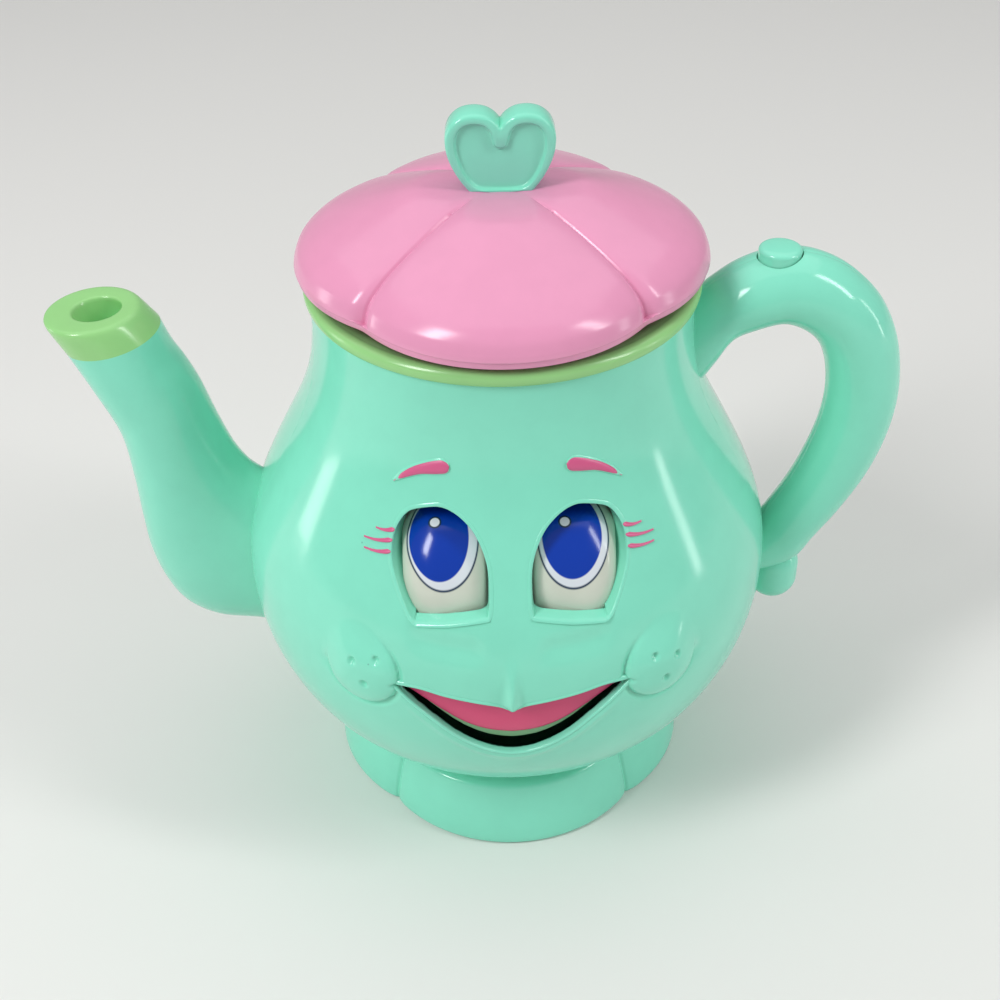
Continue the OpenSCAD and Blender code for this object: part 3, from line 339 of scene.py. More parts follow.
def step(low, high, x):
    """Smooth step from 0 at low to 1 at high; low may be above high."""
    t = np.clip((x - low) / (high - low), 0, 1)
    return t * t * (3 - 2 * t)


def quads(rows, cols, around=False, closed=False):
    """Faces of a grid of rows by cols points; around joins the last column to the first, and closed
    the last row to the first."""
    i = np.arange(rows if closed else rows - 1)[:, None]
    j = np.arange(cols if around else cols - 1)[None, :]
    i2, j2 = (i + 1) % rows, (j + 1) % cols
    corners = np.stack(np.broadcast_arrays(i * cols + j, i * cols + j2, i2 * cols + j2, i2 * cols + j), -1)
    return corners.reshape(-1, 4)


def placed(name, data):
    """A new object in the scene that holds the data."""
    made = bpy.data.objects.new(name, data)
    bpy.context.scene.collection.objects.link(made)
    return made


def smooth_shaded(mesh):
    """Shades every face of a mesh smooth."""
    mesh.polygons.foreach_set("use_smooth", np.ones(len(mesh.polygons), bool))


def closed_mesh(name, points, faces):
    """A smooth mesh that faces outward, from points in millimetres and faces."""
    mesh = bpy.data.meshes.new(name)
    mesh.from_pydata(np.asarray(points, float) * MM, [], [list(map(int, f)) for f in faces])
    mesh.validate()
    smooth_shaded(mesh)
    turn_outward(mesh)
    return mesh


def piece(name, points, faces, slot, body="pot", replaces=(), finish=None, sharp=40.0):
    """Makes a piece of the toy from points and faces, gives it its finish and lets it ride."""
    mesh = closed_mesh(name, points, faces)
    mesh.set_sharp_from_angle(angle=math.radians(sharp))
    made = placed(name, mesh)
    mesh.materials.append(finish_of(finish or finish_name(slot)))
    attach(made, body)
    if replaces:
        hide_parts(*replaces)
    return made


def turn_outward(mesh):
    """Flips every face of a closed mesh whose enclosed volume comes out negative."""
    count = len(mesh.vertices)
    points = np.zeros(count * 3)
    mesh.vertices.foreach_get("co", points)
    points = points.reshape(-1, 3)
    mesh.calc_loop_triangles()
    tris = np.zeros(len(mesh.loop_triangles) * 3, int)
    mesh.loop_triangles.foreach_get("vertices", tris)
    a, b, c = (points[tris.reshape(-1, 3)[:, k]] for k in range(3))
    if np.einsum("ij,ij->i", a, np.cross(b, c)).sum() < 0:
        mesh.flip_normals()


def capped(grid):
    """Points and faces of rows of closed loops, with a fan to a middle point at each end."""
    rows, cols = grid.shape[:2]
    ends = np.stack([grid[0].mean(0), grid[-1].mean(0)])
    first, base = rows * cols, (rows - 1) * cols
    loop = [(j, (j + 1) % cols) for j in range(cols)]
    fans = [[first, b, a] for a, b in loop] + [[first + 1, base + a, base + b] for a, b in loop]
    return np.concatenate([grid.reshape(-1, 3), ends]), [*quads(rows, cols, around=True), *fans]


def ring(out, angle, z):
    """Points round the axis: a distance out times cosine and sine of each angle, at a height z."""
    return np.stack(np.broadcast_arrays(out * np.cos(angle), out * np.sin(angle), z), -1)


def turned(profile, count, centre=(0.0, 0.0, 0.0)):
    """Carries a profile of (radius, height) round the vertical axis through a centre, as rings. A
    profile that starts and ends on the axis closes itself."""
    p = np.asarray(profile, float)
    return ring(p[:, :1], np.arange(count) * 2 * math.pi / count, p[:, 1:]) + np.asarray(centre)


# Body: shares of the way up and of the way out, below and above its fullest
LOWER = [(0, 0), (0.09, 0.19), (0.19, 0.39), (0.32, 0.615), (0.48, 0.79), (0.66, 0.915), (0.83, 0.98), (1, 1)]
UPPER = [(0.12, 0.965), (0.23, 0.855), (0.345, 0.68), (0.463, 0.475), (0.58, 0.27), (0.694, 0.12),
         (0.8, 0.04), (0.9, 0.005), (1, 0)]
SHOULDER = 1.2


def body_profile():
    """Height and radius of the body, dense and smooth, from shares of the way up."""
    base = SPIGOT_R + SHOULDER
    low = [(FOOT_TOP + (BELLY_Z - FOOT_TOP) * u, base + (BELLY_R - base) * v) for u, v in LOWER]
    high = [(BELLY_Z + (NECK_TOP - BELLY_Z) * u, NECK_R + (BELLY_R - NECK_R) * v) for u, v in UPPER]
    return smooth(low + high, 24)


PROFILE = body_profile()


def body_r(z):
    """Radius of the turned body at a height."""
    return np.interp(z, PROFILE[:, 0], PROFILE[:, 1])


# Eye window and mouth slot: shares of their widths and heights
WINDOW = [(0.02, 0.12), (0, 0.22), (0, 0.46), (0.03, 0.61), (0.09, 0.74), (0.17, 0.85), (0.3, 0.95),
          (0.44, 1), (0.58, 0.99), (0.79, 0.92), (0.91, 0.8), (0.98, 0.66), (1, 0.52), (0.98, 0.38),
          (0.91, 0.2), (0.83, 0.05), (0.77, 0)]
SILL = (0.43, 0.045)
SLOT_TOP = [(0, 0.78), (0.06, 0.83), (0.131, 0.866), (0.344, 0.91), (0.574, 0.955), (0.78, 1), (1, 0.978)]
SLOT_LOW = [(1, 0.978), (0.9, 0.835), (0.8, 0.71), (0.67, 0.55), (0.52, 0.355), (0.39, 0.215), (0.26, 0.105),
            (0.13, 0.03), (0, 0)]


def window_outline():
    """Outline of the eye window on the +X side, in x and z."""
    curve = np.concatenate([smooth(WINDOW, 8), [SILL]])
    return np.array([WINDOW_IN, SILL_Z]) + curve * [WINDOW_W, WINDOW_H]


def mouth_outline():
    """Outline of the whole mouth slot, in x and z."""
    half = np.concatenate([smooth(SLOT_TOP, 6), smooth(SLOT_LOW, 6)[1:]]) * [MOUTH_HALF, MOUTH_H]
    half = half + [0, MOUTH_LOW]
    return np.concatenate([half, half[1:-1][::-1] * [-1, 1]])


def distance_to(points, outline):
    """Signed distance from each point to a closed outline, negative inside, and the nearest point."""
    best = np.full(len(points), 1e9)
    near = np.zeros_like(points)
    inside = np.zeros(len(points), bool)
    for a, b in zip(outline, np.roll(outline, -1, 0)):
        way = b - a
        t = np.clip(((points - a) @ way) / max(way @ way, 1e-12), 0, 1)
        foot = a + t[:, None] * way
        gap = np.linalg.norm(points - foot, axis=1)
        closer = gap < best
        best = np.where(closer, gap, best)
        near[closer] = foot[closer]
        crosses = (a[1] > points[:, 1]) != (b[1] > points[:, 1])
        rise = b[1] - a[1] if b[1] != a[1] else 1.0
        inside ^= crosses & (points[:, 0] < a[0] + (points[:, 1] - a[1]) * way[0] / rise)
    return np.where(inside, -best, best), near


# Cheek: its middle along the belly's arc and up, the radius of its pillow, how far it slopes away
# towards the eye and in which direction, and the groove round it
CHEEK_AT = (41.2, 83.4)
CHEEK_R = 11.2
SLOPE_REACH = 13
SLOPE_WAY = math.radians(62)
GROOVE_R, GROOVE_W, GROOVE_DEEP = 11.6, 0.8, 0.8
# Dimples: places from the cheek's middle, how far the spout's side has them nearer the nose and
# higher, their depth, and the radii of floor and rim
DIMPLES = ((-3.8, 3.7), (2.7, 1.8), (-0.6, -3.9))
DIMPLE_MOVE = (2.0, 1.2)
DIMPLE_DEEP, DIMPLE_FLOOR, DIMPLE_R = 1.2, 0.25, 1.3
# Ridge under the nose and hollow under each eye: width and height or depth
RIDGE_W, RIDGE_H = 1.5, 2.4
HOLLOW_W, HOLLOW_DEEP = 3.0, 0.8
# Bead under the mouth: its distance from the slot, its width and height
BEAD_OUT, BEAD_W, BEAD_H = 1.9, 1.0, 0.35


def bell(value, middle, width):
    """One at the middle, falling to both sides as a bell of the width."""
    return np.exp(-((value - middle) / width) ** 2)


def face_relief(x, z, window_gap, mouth_gap):
    """Height of the face above the turned body: cheeks with dimples, the ridge under the nose, the
    soft hollow under each eye, and edges that round off into the windows and the mouth. Each is a
    bell, a smooth step or a quarter circle of the distance from its middle or edge."""
    side = np.abs(x)
    arc = np.arcsin(np.clip(side / body_r(z), -1, 1)) * body_r(z)
    du, dz = arc - CHEEK_AT[0], z - CHEEK_AT[1]
    reach = np.hypot(du, dz)
    toward = step(-0.35, 0.75, np.cos(np.arctan2(dz, du) - SLOPE_WAY))
    pillow = np.sqrt(np.clip(1 - (reach / CHEEK_R) ** 2, 0, 1))
    h = sizes().cheek_rise / MM * (pillow * (1 - toward) + (1 - step(1, SLOPE_REACH, reach)) * toward)
    move = np.where(x < 0, 1.0, 0.0)
    for u, w in DIMPLES:
        away = np.hypot(du - u + DIMPLE_MOVE[0] * move, dz - w - DIMPLE_MOVE[1] * move)
        h = h - DIMPLE_DEEP * (1 - step(DIMPLE_FLOOR, DIMPLE_R, away))
    h = h - GROOVE_DEEP * bell(reach, GROOVE_R, GROOVE_W) * (1 - toward)
    h = h + RIDGE_H * bell(x, 0, RIDGE_W) * step(94, 81, z) * step(75.8, 80.5, z)
    hollow = bell(z, SILL_Z - 5.0 + 0.06 * (side - 14), HOLLOW_W)
    h = h - HOLLOW_DEEP * hollow * step(5.5, 10.5, side) * step(27.5, 21.0, side)
    for gap, radius in ((window_gap, sizes().window_edge / MM), (mouth_gap, sizes().mouth_edge / MM)):
        near = np.clip(radius - gap, 0, radius)
        h = h - (radius - np.sqrt(np.maximum(radius ** 2 - near ** 2, 0)))
    return h + BEAD_H * bell(mouth_gap, BEAD_OUT, BEAD_W) * step(79, 71, z)


def graded(low, high, fine_low, fine_high, fine, coarse):
    """Values from low to high, close together between fine_low and fine_high."""
    parts = [np.linspace(low, fine_low, max(int(round((fine_low - low) / coarse)), 1), endpoint=False),
             np.linspace(fine_low, fine_high, int(round((fine_high - fine_low) / fine)), endpoint=False),
             np.linspace(fine_high, high, max(int(round((high - fine_high) / coarse)), 1) + 1)]
    return np.concatenate(parts)


def sheet_faces(rows, cols, state):
    """Grid faces outside the cut outlines. state is 1 outside, 0 on an outline, -1 inside; a face
    that an outline crosses from corner to corner keeps its outer half."""
    f = quads(rows, cols)
    s = state[f]
    kept = [list(q) for q in f[(s >= 0).all(1) & (s > 0).any(1)]]
    mixed_faces = (s < 0).any(1) & (s > 0).any(1)
    for q, v in zip(f[mixed_faces], s[mixed_faces]):
        for k in range(4):
            tri = [k, (k + 1) % 4, (k + 3) % 4]
            if v[k] > 0 and v[tri[1]] >= 0 and v[tri[2]] >= 0:
                kept.append([q[tri[0]], q[tri[1]], q[tri[2]]])
                break
    return kept


def thickened(points, inner, faces):
    """Closes an open sheet: its own faces, the same faces turned round on the inner points, and a
    wall along every edge that only one face uses."""
    count = len(points)
    edges = {}
    for f in faces:
        for a, b in zip(f, f[1:] + f[:1]):
            edges[(a, b)] = True
    rim = [(a, b) for a, b in edges if (b, a) not in edges]
    walls = [[b, a, a + count, b + count] for a, b in rim]
    back = [[v + count for v in reversed(f)] for f in faces]
    return np.concatenate([points, inner]), [*faces, *back, *walls]


def used_only(points, faces):
    """Drops the points that no face uses."""
    flat = np.unique(np.concatenate([np.asarray(f) for f in faces]))
    index = np.full(len(points), -1)
    index[flat] = np.arange(len(flat))
    return points[flat], [[int(index[v]) for v in f] for f in faces]


class TEAPOT_OT_face(bpy.types.Operator):
    """Front half of the body, with its windows, mouth, cheeks and sills"""

    bl_idname = "teapot.face"
    bl_label = "Face shell"

    def execute(self, context):
        # P(u, z) = ((r(z) + h) sin u, -(r(z) + h) cos u, z), with h the relief of the face
        seam = math.acos(-SEAM_Y / BELLY_R)
        fine = 0.46
        angles = graded(-seam, seam, -0.71, 0.71, fine / BELLY_R, 2.6 / BELLY_R)
        heights = graded(FOOT_TOP, NECK_TOP, 57.0, 129.5, fine, 2.2)
        u, z = (g.ravel() for g in np.meshgrid(angles, heights))
        window, mouth = window_outline(), mouth_outline()
        r = body_r(z)
        limit = np.arccos(np.clip(-SEAM_Y / r, -1, 1))
        u = u / seam * limit
        x = r * np.sin(u)
        flat = np.stack([x, z], 1)
        folded = np.stack([np.abs(x), z], 1)
        window_gap, window_near = distance_to(folded, window)
        mouth_gap, mouth_near = distance_to(flat, mouth)
        snap = fine * 0.56
        state = np.ones(len(x), int)
        for gap, near, sign in ((window_gap, window_near, np.sign(x)), (mouth_gap, mouth_near, 1)):
            close = np.abs(gap) <= snap
            z = np.where(close, near[:, 1], z)
            x = np.where(close, near[:, 0] * sign, x)
            state[gap < -snap] = -1
            state[close] = 0
            gap[close] = 0
        r = body_r(z)
        u = np.where(state == 0, np.arcsin(np.clip(x / r, -1, 1)), u)
        h = face_relief(x, z, window_gap, mouth_gap)
        outer = np.stack([(r + h) * np.sin(u), -(r + h) * np.cos(u), z], 1)
        depth = WALL + 0.2
        inner = np.stack([(r - depth) * np.sin(u), -(r - depth) * np.cos(u), z], 1)
        cut = state == 0
        inner[cut, 0] = outer[cut, 0]
        inner[cut, 1] = outer[cut, 1] + np.where(mouth_gap[cut] == 0, 0.9, depth * 1.3)
        inner[:, 1] = np.minimum(inner[:, 1], SEAM_Y)
        faces = sheet_faces(len(heights), len(angles), state)
        both, faces = used_only(np.concatenate([outer, inner], 1), faces)
        points, faces = thickened(both[:, :3], both[:, 3:], faces)
        piece("face_front", points, faces, "face_plastic", replaces=("face_shell",), sharp=50)
        for side, name in ((-1, "left"), (1, "right")):
            self.sill(side, "window_sill_" + name)
            self.trim(window, side, "window_trim_" + name, (3.2, 4.6), (0.2, 2.1), 0.45)
        self.trim(mouth, 1, "mouth_trim", (1.0, 0.0), (0.0, 0.0), 0.1)
        return {"FINISHED"}

    def trim(self, outline, side, name, depths, tapers, low_lip):
        """Rounded edge of an opening: a closed section carried along the outline. Each of its points
        lies at an offset along the outline's outward normal and a height off the body, towards the
        viewer. The inner wall is deeper and slants in more where the normal points outward, and the
        edge stands out more where it points down."""
        line = spaced(np.concatenate([outline, outline[:1]]), np.arange(320) / 320)
        way = np.roll(line, -2, 0) - np.roll(line, 2, 0)
        way /= np.linalg.norm(way, axis=1)[:, None]
        out = np.stack([-way[:, 1], way[:, 0]], 1)
        out *= -np.sign(((line - line.mean(0)) * -out).sum())
        outward = step(0.2, 0.85, out[:, 0])[:, None]
        down = step(0.4, 0.9, -out[:, 1])[:, None]
        depth = depths[0] + depths[1] * outward
        taper = tapers[0] + tapers[1] * outward
        lip = 1 + down * low_lip / 0.14
        section = [(1.15, -0.45), (0.85, 0.0), (0.55, 0.12 * lip), (0.2, 0.14 * lip), (-0.06, 0.02 * lip),
                   (-0.2, -0.2), (-0.26, -0.45), (-0.28, -0.7), (-0.28 - taper, -depth), (0.7, -depth),
                   (1.15, -0.9)]
        offset, height = (np.concatenate([np.broadcast_to(pair[k], depth.shape) for pair in section], 1)
                          for k in (0, 1))
        x = line[:, :1] + out[:, :1] * offset
        z = line[:, 1:] + out[:, 1:] * offset
        y = -np.sqrt(np.maximum(body_r(z) ** 2 - x ** 2, 0)) - height
        points = np.stack([x * side, y, z], -1).reshape(-1, 3)
        faces = quads(len(line), len(section), around=True, closed=True)
        piece(name, points, faces, "face_plastic", sharp=60)

    def sill(self, side, name):
        """Ledge under an eye: its top runs from the wall in towards the drum, along the window's foot,
        and follows the drum's curve at its inner edge."""
        line = np.array([(0.02, 0.12), SILL, (0.77, 0)]) * [WINDOW_W, WINDOW_H] + [WINDOW_IN, SILL_Z]
        s = np.linspace(0, 1, 41)
        x = np.interp(s, [0, 0.55, 1], line[:, 0])
        z = np.interp(s, [0, 0.55, 1], line[:, 1])
        front = -np.sqrt(body_r(z) ** 2 - x ** 2) + 1.0
        along = (x - EYE_IN) / EYE_W
        drum = eye_radius(along) + 0.7
        back = EYE_AXIS[0] - np.sqrt(np.maximum(drum ** 2 - (z - EYE_AXIS[1]) ** 2, 0))
        back = np.maximum(back, front + 0.6)
        t = 1.5
        loop = np.stack([
            np.stack([x * side, front, z], 1), np.stack([x * side, back, z - 0.1], 1),
            np.stack([x * side, back, z - t], 1), np.stack([x * side, front, z - t], 1)], 1)
        piece(name, *capped(loop), "face_plastic", sharp=30)


EYE_SHARES = [(0.86, 0), (0.93, 0.025), (0.97, 0.07), (0.995, 0.18), (1, 0.35), (1, 0.5), (0.985, 0.65),
              (0.94, 0.78), (0.87, 0.89), (0.79, 0.97), (0.74, 1)]


def eye_radius(along):
    """Radius of an eye drum at a share of its width, from the nose outward."""
    curve = smooth(EYE_SHARES, 10)
    return np.interp(along, curve[:, 1], curve[:, 0]) * EYE_R


class TEAPOT_OT_eyes(bpy.types.Operator):
    """Rolling eye drums with their printed irises"""

    bl_idname = "teapot.eyes"
    bl_label = "Eyes"

    def execute(self, context):
        # The drum's profile is carried round the shaft, through the front and as far back as the cut
        curve = smooth(EYE_SHARES, 8) * [EYE_R, EYE_W]
        hub = 3.8
        section = np.concatenate([[[hub, 0]], curve, [[hub, EYE_W]]])
        start = math.radians(105)
        turn = np.linspace(-start, start, 121)
        for side, name in ((-1, "left"), (1, "right")):
            r, w = section[:, 0], section[:, 1]
            x = np.broadcast_to((EYE_IN + w) * side, (len(turn), len(section)))
            y = EYE_AXIS[0] - np.cos(turn)[:, None] * r
            z = EYE_AXIS[1] + np.sin(turn)[:, None] * r
            piece("eye_drum_" + name, *capped(np.stack([x, y, z], -1)), "eye_plastic", body="eyes",
                  replaces=("eye_" + name,), finish="eye_" + name, sharp=35)
        return {"FINISHED"}


BROW = [(1, 0), (0.84, 0.34), (0.64, 0.62), (0.41, 0.84), (0.18, 0.99), (0.06, 0.97), (0, 0.83),
        (0.05, 0.6), (0.22, 0.51), (0.51, 0.41), (0.79, 0.19)]
LASHES = [(1.04, 0.72, 0.22, -0.04), (1.07, 0.625, 0.335, -0.06), (1.095, 0.523, 0.315, -0.05)]


def stroke(line, width, rise, side):
    """A raised painted stroke on the body: a half-round section of the given widths carried along a
    line of x and z, standing off the body by rise at its middle."""
    p = np.asarray(line, float)
    way = np.gradient(p, axis=0)
    way /= np.linalg.norm(way, axis=1)[:, None]
    across = np.stack([-way[:, 1], way[:, 0]], 1)
    angle = np.linspace(0, 2 * math.pi, 20, endpoint=False)
    spread = np.cos(angle)[None, :] * np.asarray(width)[:, None]
    height = np.where(np.sin(angle) > 0, np.sin(angle), np.sin(angle) * 0.8)[None, :] * rise
    height = height * np.clip(np.asarray(width)[:, None] / 0.6, 0.5, 1)
    x = p[:, 0][:, None] + across[:, 0][:, None] * spread
    z = p[:, 1][:, None] + across[:, 1][:, None] * spread
    r = body_r(z) + height
    y = -np.sqrt(np.maximum(r ** 2 - x ** 2, 0))
    return capped(np.stack([x * side, y, z], -1))


class TEAPOT_OT_paint(bpy.types.Operator):
    """Raised brows and lashes, painted rose"""

    bl_idname = "teapot.paint"
    bl_label = "Brows and lashes"

    def execute(self, context):
        brow_in, brow_w, brow_z, brow_h = EYE_IN + 9.0, 14.0, SILL_Z + WINDOW_H + 3.7, 8.0
        edge = smooth(BROW, 8) * [brow_w, brow_h] + [brow_in, brow_z]
        upper = edge[:6 * 8 + 1]
        lower = np.concatenate([edge[6 * 8:], edge[:1]])[::-1]
        share = np.linspace(0, 1, 36)
        top, low = spaced(upper, share), spaced(lower, share)
        middle = (top + low) / 2
        half = np.maximum(np.linalg.norm(top - low, axis=1) / 2, 0.12)
        for side, name in ((-1, "left"), (1, "right")):
            piece("brow_" + name, *stroke(middle, half, 0.75, side), "face_plastic", finish="paint",
                  sharp=60)
            piece("brow_rim_" + name, *stroke(middle, half + 0.3, 0.45, side), "face_plastic", sharp=60)
            for k, (out, start, run, lift) in enumerate(LASHES, 1):
                a = np.array([LASH_IN + out * LASH_W, LASH_Z + start * LASH_H])
                t = np.linspace(0, 1, 16)
                x = a[0] + t * run * LASH_W
                z = a[1] + lift * LASH_H * t - 0.4 * np.sin(math.pi * t)
                w = 0.5 * np.sqrt(np.clip(t * 8 + 0.15, 0, 1)) * (1 - 0.75 * t)
                piece(f"lash_{name}_{k}", *stroke(np.stack([x, z], 1), w, 0.7, side), "face_plastic",
                      finish="paint", sharp=60)
        return {"FINISHED"}


CARRIER_TOP = [(0, 0.92), (0.2, 0.97), (0.55, 1.02), (0.85, 1.06), (1.09, 1.1)]
LIP_LINE = [(1.09, 1.0), (0.98, 0.91), (0.86, 0.815), (0.74, 0.715), (0.575, 0.55), (0.41, 0.4),
            (0.21, 0.29), (0, 0.25)]
LIP_ROUND = 0.9


class TEAPOT_OT_mouth(bpy.types.Operator):
    """Rose lip that shows in the mouth"""

    bl_idname = "teapot.mouth"
    bl_label = "Lip"

    def execute(self, context):
        # Between the lip's lower line and its top, on a surface turned about the body's axis whose
        # profile is an arc about the jaw's pin
        low, top = smooth(LIP_LINE, 12)[::-1], smooth(CARRIER_TOP, 12)
        s = np.linspace(-1.085, 1.085, 161)
        t = np.linspace(0, 1, 25)
        bottom = np.interp(np.abs(s), low[:, 0], low[:, 1])
        crest = np.interp(np.abs(s), top[:, 0], top[:, 1])
        share, row = np.meshgrid(s, t)
        z = MOUTH_LOW + MOUTH_H * (bottom[None, :] + (crest - bottom)[None, :] * row)
        x = share * MOUTH_HALF
        from_low = z - MOUTH_LOW - MOUTH_H * bottom[None, :]
        edge = np.clip(LIP_ROUND - from_low, 0, LIP_ROUND)
        drop = LIP_ROUND - np.sqrt(np.maximum(LIP_ROUND ** 2 - edge ** 2, 0))
        corner = 1.2 * step(0.45, 1.0, np.abs(share))

        def skin(back):
            r = -JAW_AXIS[0] + np.sqrt((JAW_R - back) ** 2 - (z - JAW_AXIS[1]) ** 2) + corner
            return np.stack([x, -np.sqrt(r ** 2 - x ** 2), z], -1).reshape(-1, 3)

        faces = [list(f) for f in quads(len(t), len(s))]
        points, faces = thickened(skin(drop * 0.8), skin(1.2), faces)
        piece("rose_lip", points, faces, "lip_plastic", body="jaw", replaces=("lower_lip",), sharp=50)
        return {"FINISHED"}


def crease_angles(count):
    """Directions round the axis, closer together at the four creases: in each quarter, 45 degrees
    times a share t of its quarter mixed with the cube of t, from minus one to one."""
    t = np.linspace(-1, 1, count // 4, endpoint=False)
    quarter = math.pi / 4 * (0.2 * t + 0.8 * t ** 3)
    return np.concatenate([quarter + math.pi / 4 + k * math.pi / 2 for k in range(4)])


def groove(x, y, width):
    """One on the vertical planes of the four creases, falling as a bell of that width to zero."""
    gap = np.minimum(np.abs(x - y), np.abs(x + y)) / math.sqrt(2)
    return np.exp(-(gap / width) ** 2)


def lobed(radius, offset, theta, softness):
    """Radius of the outline round four discs set off from the axis, with the crease between two of
    them softened: the distance along a ray to each disc, blended by a smooth maximum."""
    phi = (theta + math.pi / 4) % (math.pi / 2) - math.pi / 4
    other = math.pi / 2 - np.abs(phi)

    def ray(angle):
        inner = np.maximum(radius ** 2 - (offset * np.sin(angle)) ** 2, 0)
        return offset * np.cos(angle) + np.sqrt(inner)

    a, b = ray(np.abs(phi)), ray(other)
    return b + softness * np.log1p(np.exp((a - b) / softness))


PILLOW = [(0, 1), (0.13, 0.997), (0.24, 0.972), (0.4, 0.86), (0.516, 0.772), (0.63, 0.685), (0.74, 0.595),
          (0.83, 0.512), (0.91, 0.41), (0.965, 0.3), (0.992, 0.18), (1.0, 0.11)]


def lid_crease(x, y, out):
    """Depth of the lid's creases: a narrow and a wide groove, fading in away from the heart."""
    return (0.35 * groove(x, y, 0.45) + 0.35 * groove(x, y, 1.3)) * step(9, 15, out)


class TEAPOT_OT_lid(bpy.types.Operator):
    """Lid of four turned pillows over a thin skirt"""

    bl_idname = "teapot.lid"
    bl_label = "Lid"

    def execute(self, context):
        # Middle: height over the plane from the nearest pillow. Outside: each height's outline round
        # four discs. Then the skirt, the underside's wall and the hollow of the dome.
        rise = CROWN - LID_LOW
        curve = smooth(PILLOW, 10) * [LID_LOBE_R, rise] + [0, LID_LOW]
        soft = sizes().crease / MM
        theta = crease_angles(560)
        start = int(np.argmax(curve[:, 0] > 0.30 * LID_LOBE_R))
        first = lobed(curve[start, 0], LID_LOBE_OUT, theta, soft)
        rings = []
        centres = LID_LOBE_OUT * np.array([(1, 0), (0, 1), (-1, 0), (0, -1)])
        for share in np.linspace(0.02, 0.98, 22):
            x, y = first * share * np.cos(theta), first * share * np.sin(theta)
            reach = np.stack([np.hypot(x - c[0], y - c[1]) for c in centres])
            z = np.interp(reach, curve[:, 0], curve[:, 1])
            z = soft * 0.5 * np.log(np.exp((z - CROWN) / (soft * 0.5)).sum(0)) + CROWN
            z = np.minimum(z, CROWN) - lid_crease(x, y, first * share)
            rings.append(np.stack([x, y, z], -1))
        for r, z in curve[start:]:
            out = lobed(r, LID_LOBE_OUT, theta, soft)
            x, y = out * np.cos(theta), out * np.sin(theta)
            low = step(CROWN - 4, CROWN - 12, z)
            back = 0.45 * groove(x, y, 0.45) + 1.3 * low * groove(x, y, 2.2)
            rings.append(ring(out - back, theta, z - lid_crease(x, y, out)))
        shelf = LID_LOW + SKIRT_H * 0.72
        wall = [(0.0, shelf + 0.25), (-0.12, shelf + 0.06), (-SKIRT_IN, shelf), (-SKIRT_IN, LID_LOW + 0.4),
                (-SKIRT_IN - 0.15, LID_LOW + 0.1), (-SKIRT_IN - 0.4, LID_LOW), (-WALL + 0.2, LID_LOW),
                (-WALL, LID_LOW + 0.2), (-WALL, LID_LOW + 4)]
        for back, z in wall:
            rings.append(ring(lobed(LID_LOBE_R + back, LID_LOBE_OUT, theta, soft), theta, z))
        inner = smooth(PILLOW, 3)[::-1] * [LID_LOBE_R - WALL, rise - WALL - 1] + [0, LID_LOW]
        for r, z in inner:
            if r > 0.3 * LID_LOBE_R and z > LID_LOW + 4:
                rings.append(ring(lobed(r, LID_LOBE_OUT, theta, soft), theta, z))
        piece("pillow_lid", *capped(np.stack(rings)), "lid_plastic", body="lid", replaces=("lid_dome",),
              sharp=32)
        return {"FINISHED"}


HEART = [(0, 0.84), (0.1, 0.915), (0.27, 0.98), (0.5, 1), (0.73, 0.965), (0.9, 0.87), (0.99, 0.74),
         (1, 0.62), (0.97, 0.48), (0.89, 0.33), (0.76, 0.17), (0.57, 0)]
PANEL = [(0, 0.59), (0.085, 0.61), (0.125, 0.69), (0.17, 0.78), (0.28, 0.862), (0.49, 0.892), (0.68, 0.855),
         (0.79, 0.77), (0.83, 0.66), (0.82, 0.53), (0.76, 0.39), (0.68, 0.26), (0.54, 0.125), (0.35, 0.05),
         (0, 0.035)]
PANEL_DEEP = 1.2


def paired_loop(half, marks):
    """A closed outline from its right half, mirrored. Each stretch between marked points gets its
    own number of evenly spaced points, so that two outlines pair up point by point."""
    parts = []
    for a, b, count in zip(marks, marks[1:], (30, 36, 54)):
        parts.append(spaced(half[a:b + 1], np.arange(count) / count))
    right = np.concatenate([*parts, half[-1:]])
    return np.concatenate([right, right[-2:0:-1] * [-1, 1]])


def inset(loop, distance):
    """Moves a clockwise closed outline inward by a distance, along its averaged normals."""
    way = np.roll(loop, -2, 0) - np.roll(loop, 2, 0)
    way /= np.linalg.norm(way, axis=1)[:, None]
    return loop + distance * np.stack([way[:, 1], -way[:, 0]], 1)


class TEAPOT_OT_heart(bpy.types.Operator):
    """Heart knob with a sunk panel on each face"""

    bl_idname = "teapot.heart"
    bl_label = "Heart knob"

    def execute(self, context):
        # Rings run from one face's panel over the rounded rim to the other face's panel
        low = HEART_TOP - HEART_H
        count = 240
        size = [HEART_W / 2, HEART_H]
        outline = paired_loop(np.concatenate([smooth(HEART, 10), [[0, 0]]]) * size, (0, 30, 70, 111))
        panel = paired_loop(smooth(PANEL, 10) * size, (0, 50, 80, 140))
        half, deep = HEART_T / 2, HEART_T / 2 - PANEL_DEEP
        front = [(inset(panel, back), level) for back, level in (
            (0.8, deep), (0.6, deep + 0.02), (0.4, deep + 0.15), (0.25, deep + 0.4), (0.05, half - 0.35),
            (-0.1, half - 0.1), (-0.3, half))]
        front += [(inset(outline, back), half - down) for back, down in (
            (0.9, 0), (0.55, 0.12), (0.2, 0.45), (0, 1.1))]
        rings = front + [(loop, -depth) for loop, depth in reversed(front)]
        grid = np.stack([np.stack([l[:, 0], np.full(count, -d), low + l[:, 1]], 1) for l, d in rings])
        piece("heart_knob_body", *capped(grid), "heart_plastic", body="lid", replaces=("heart_knob",),
              sharp=45)
        return {"FINISHED"}


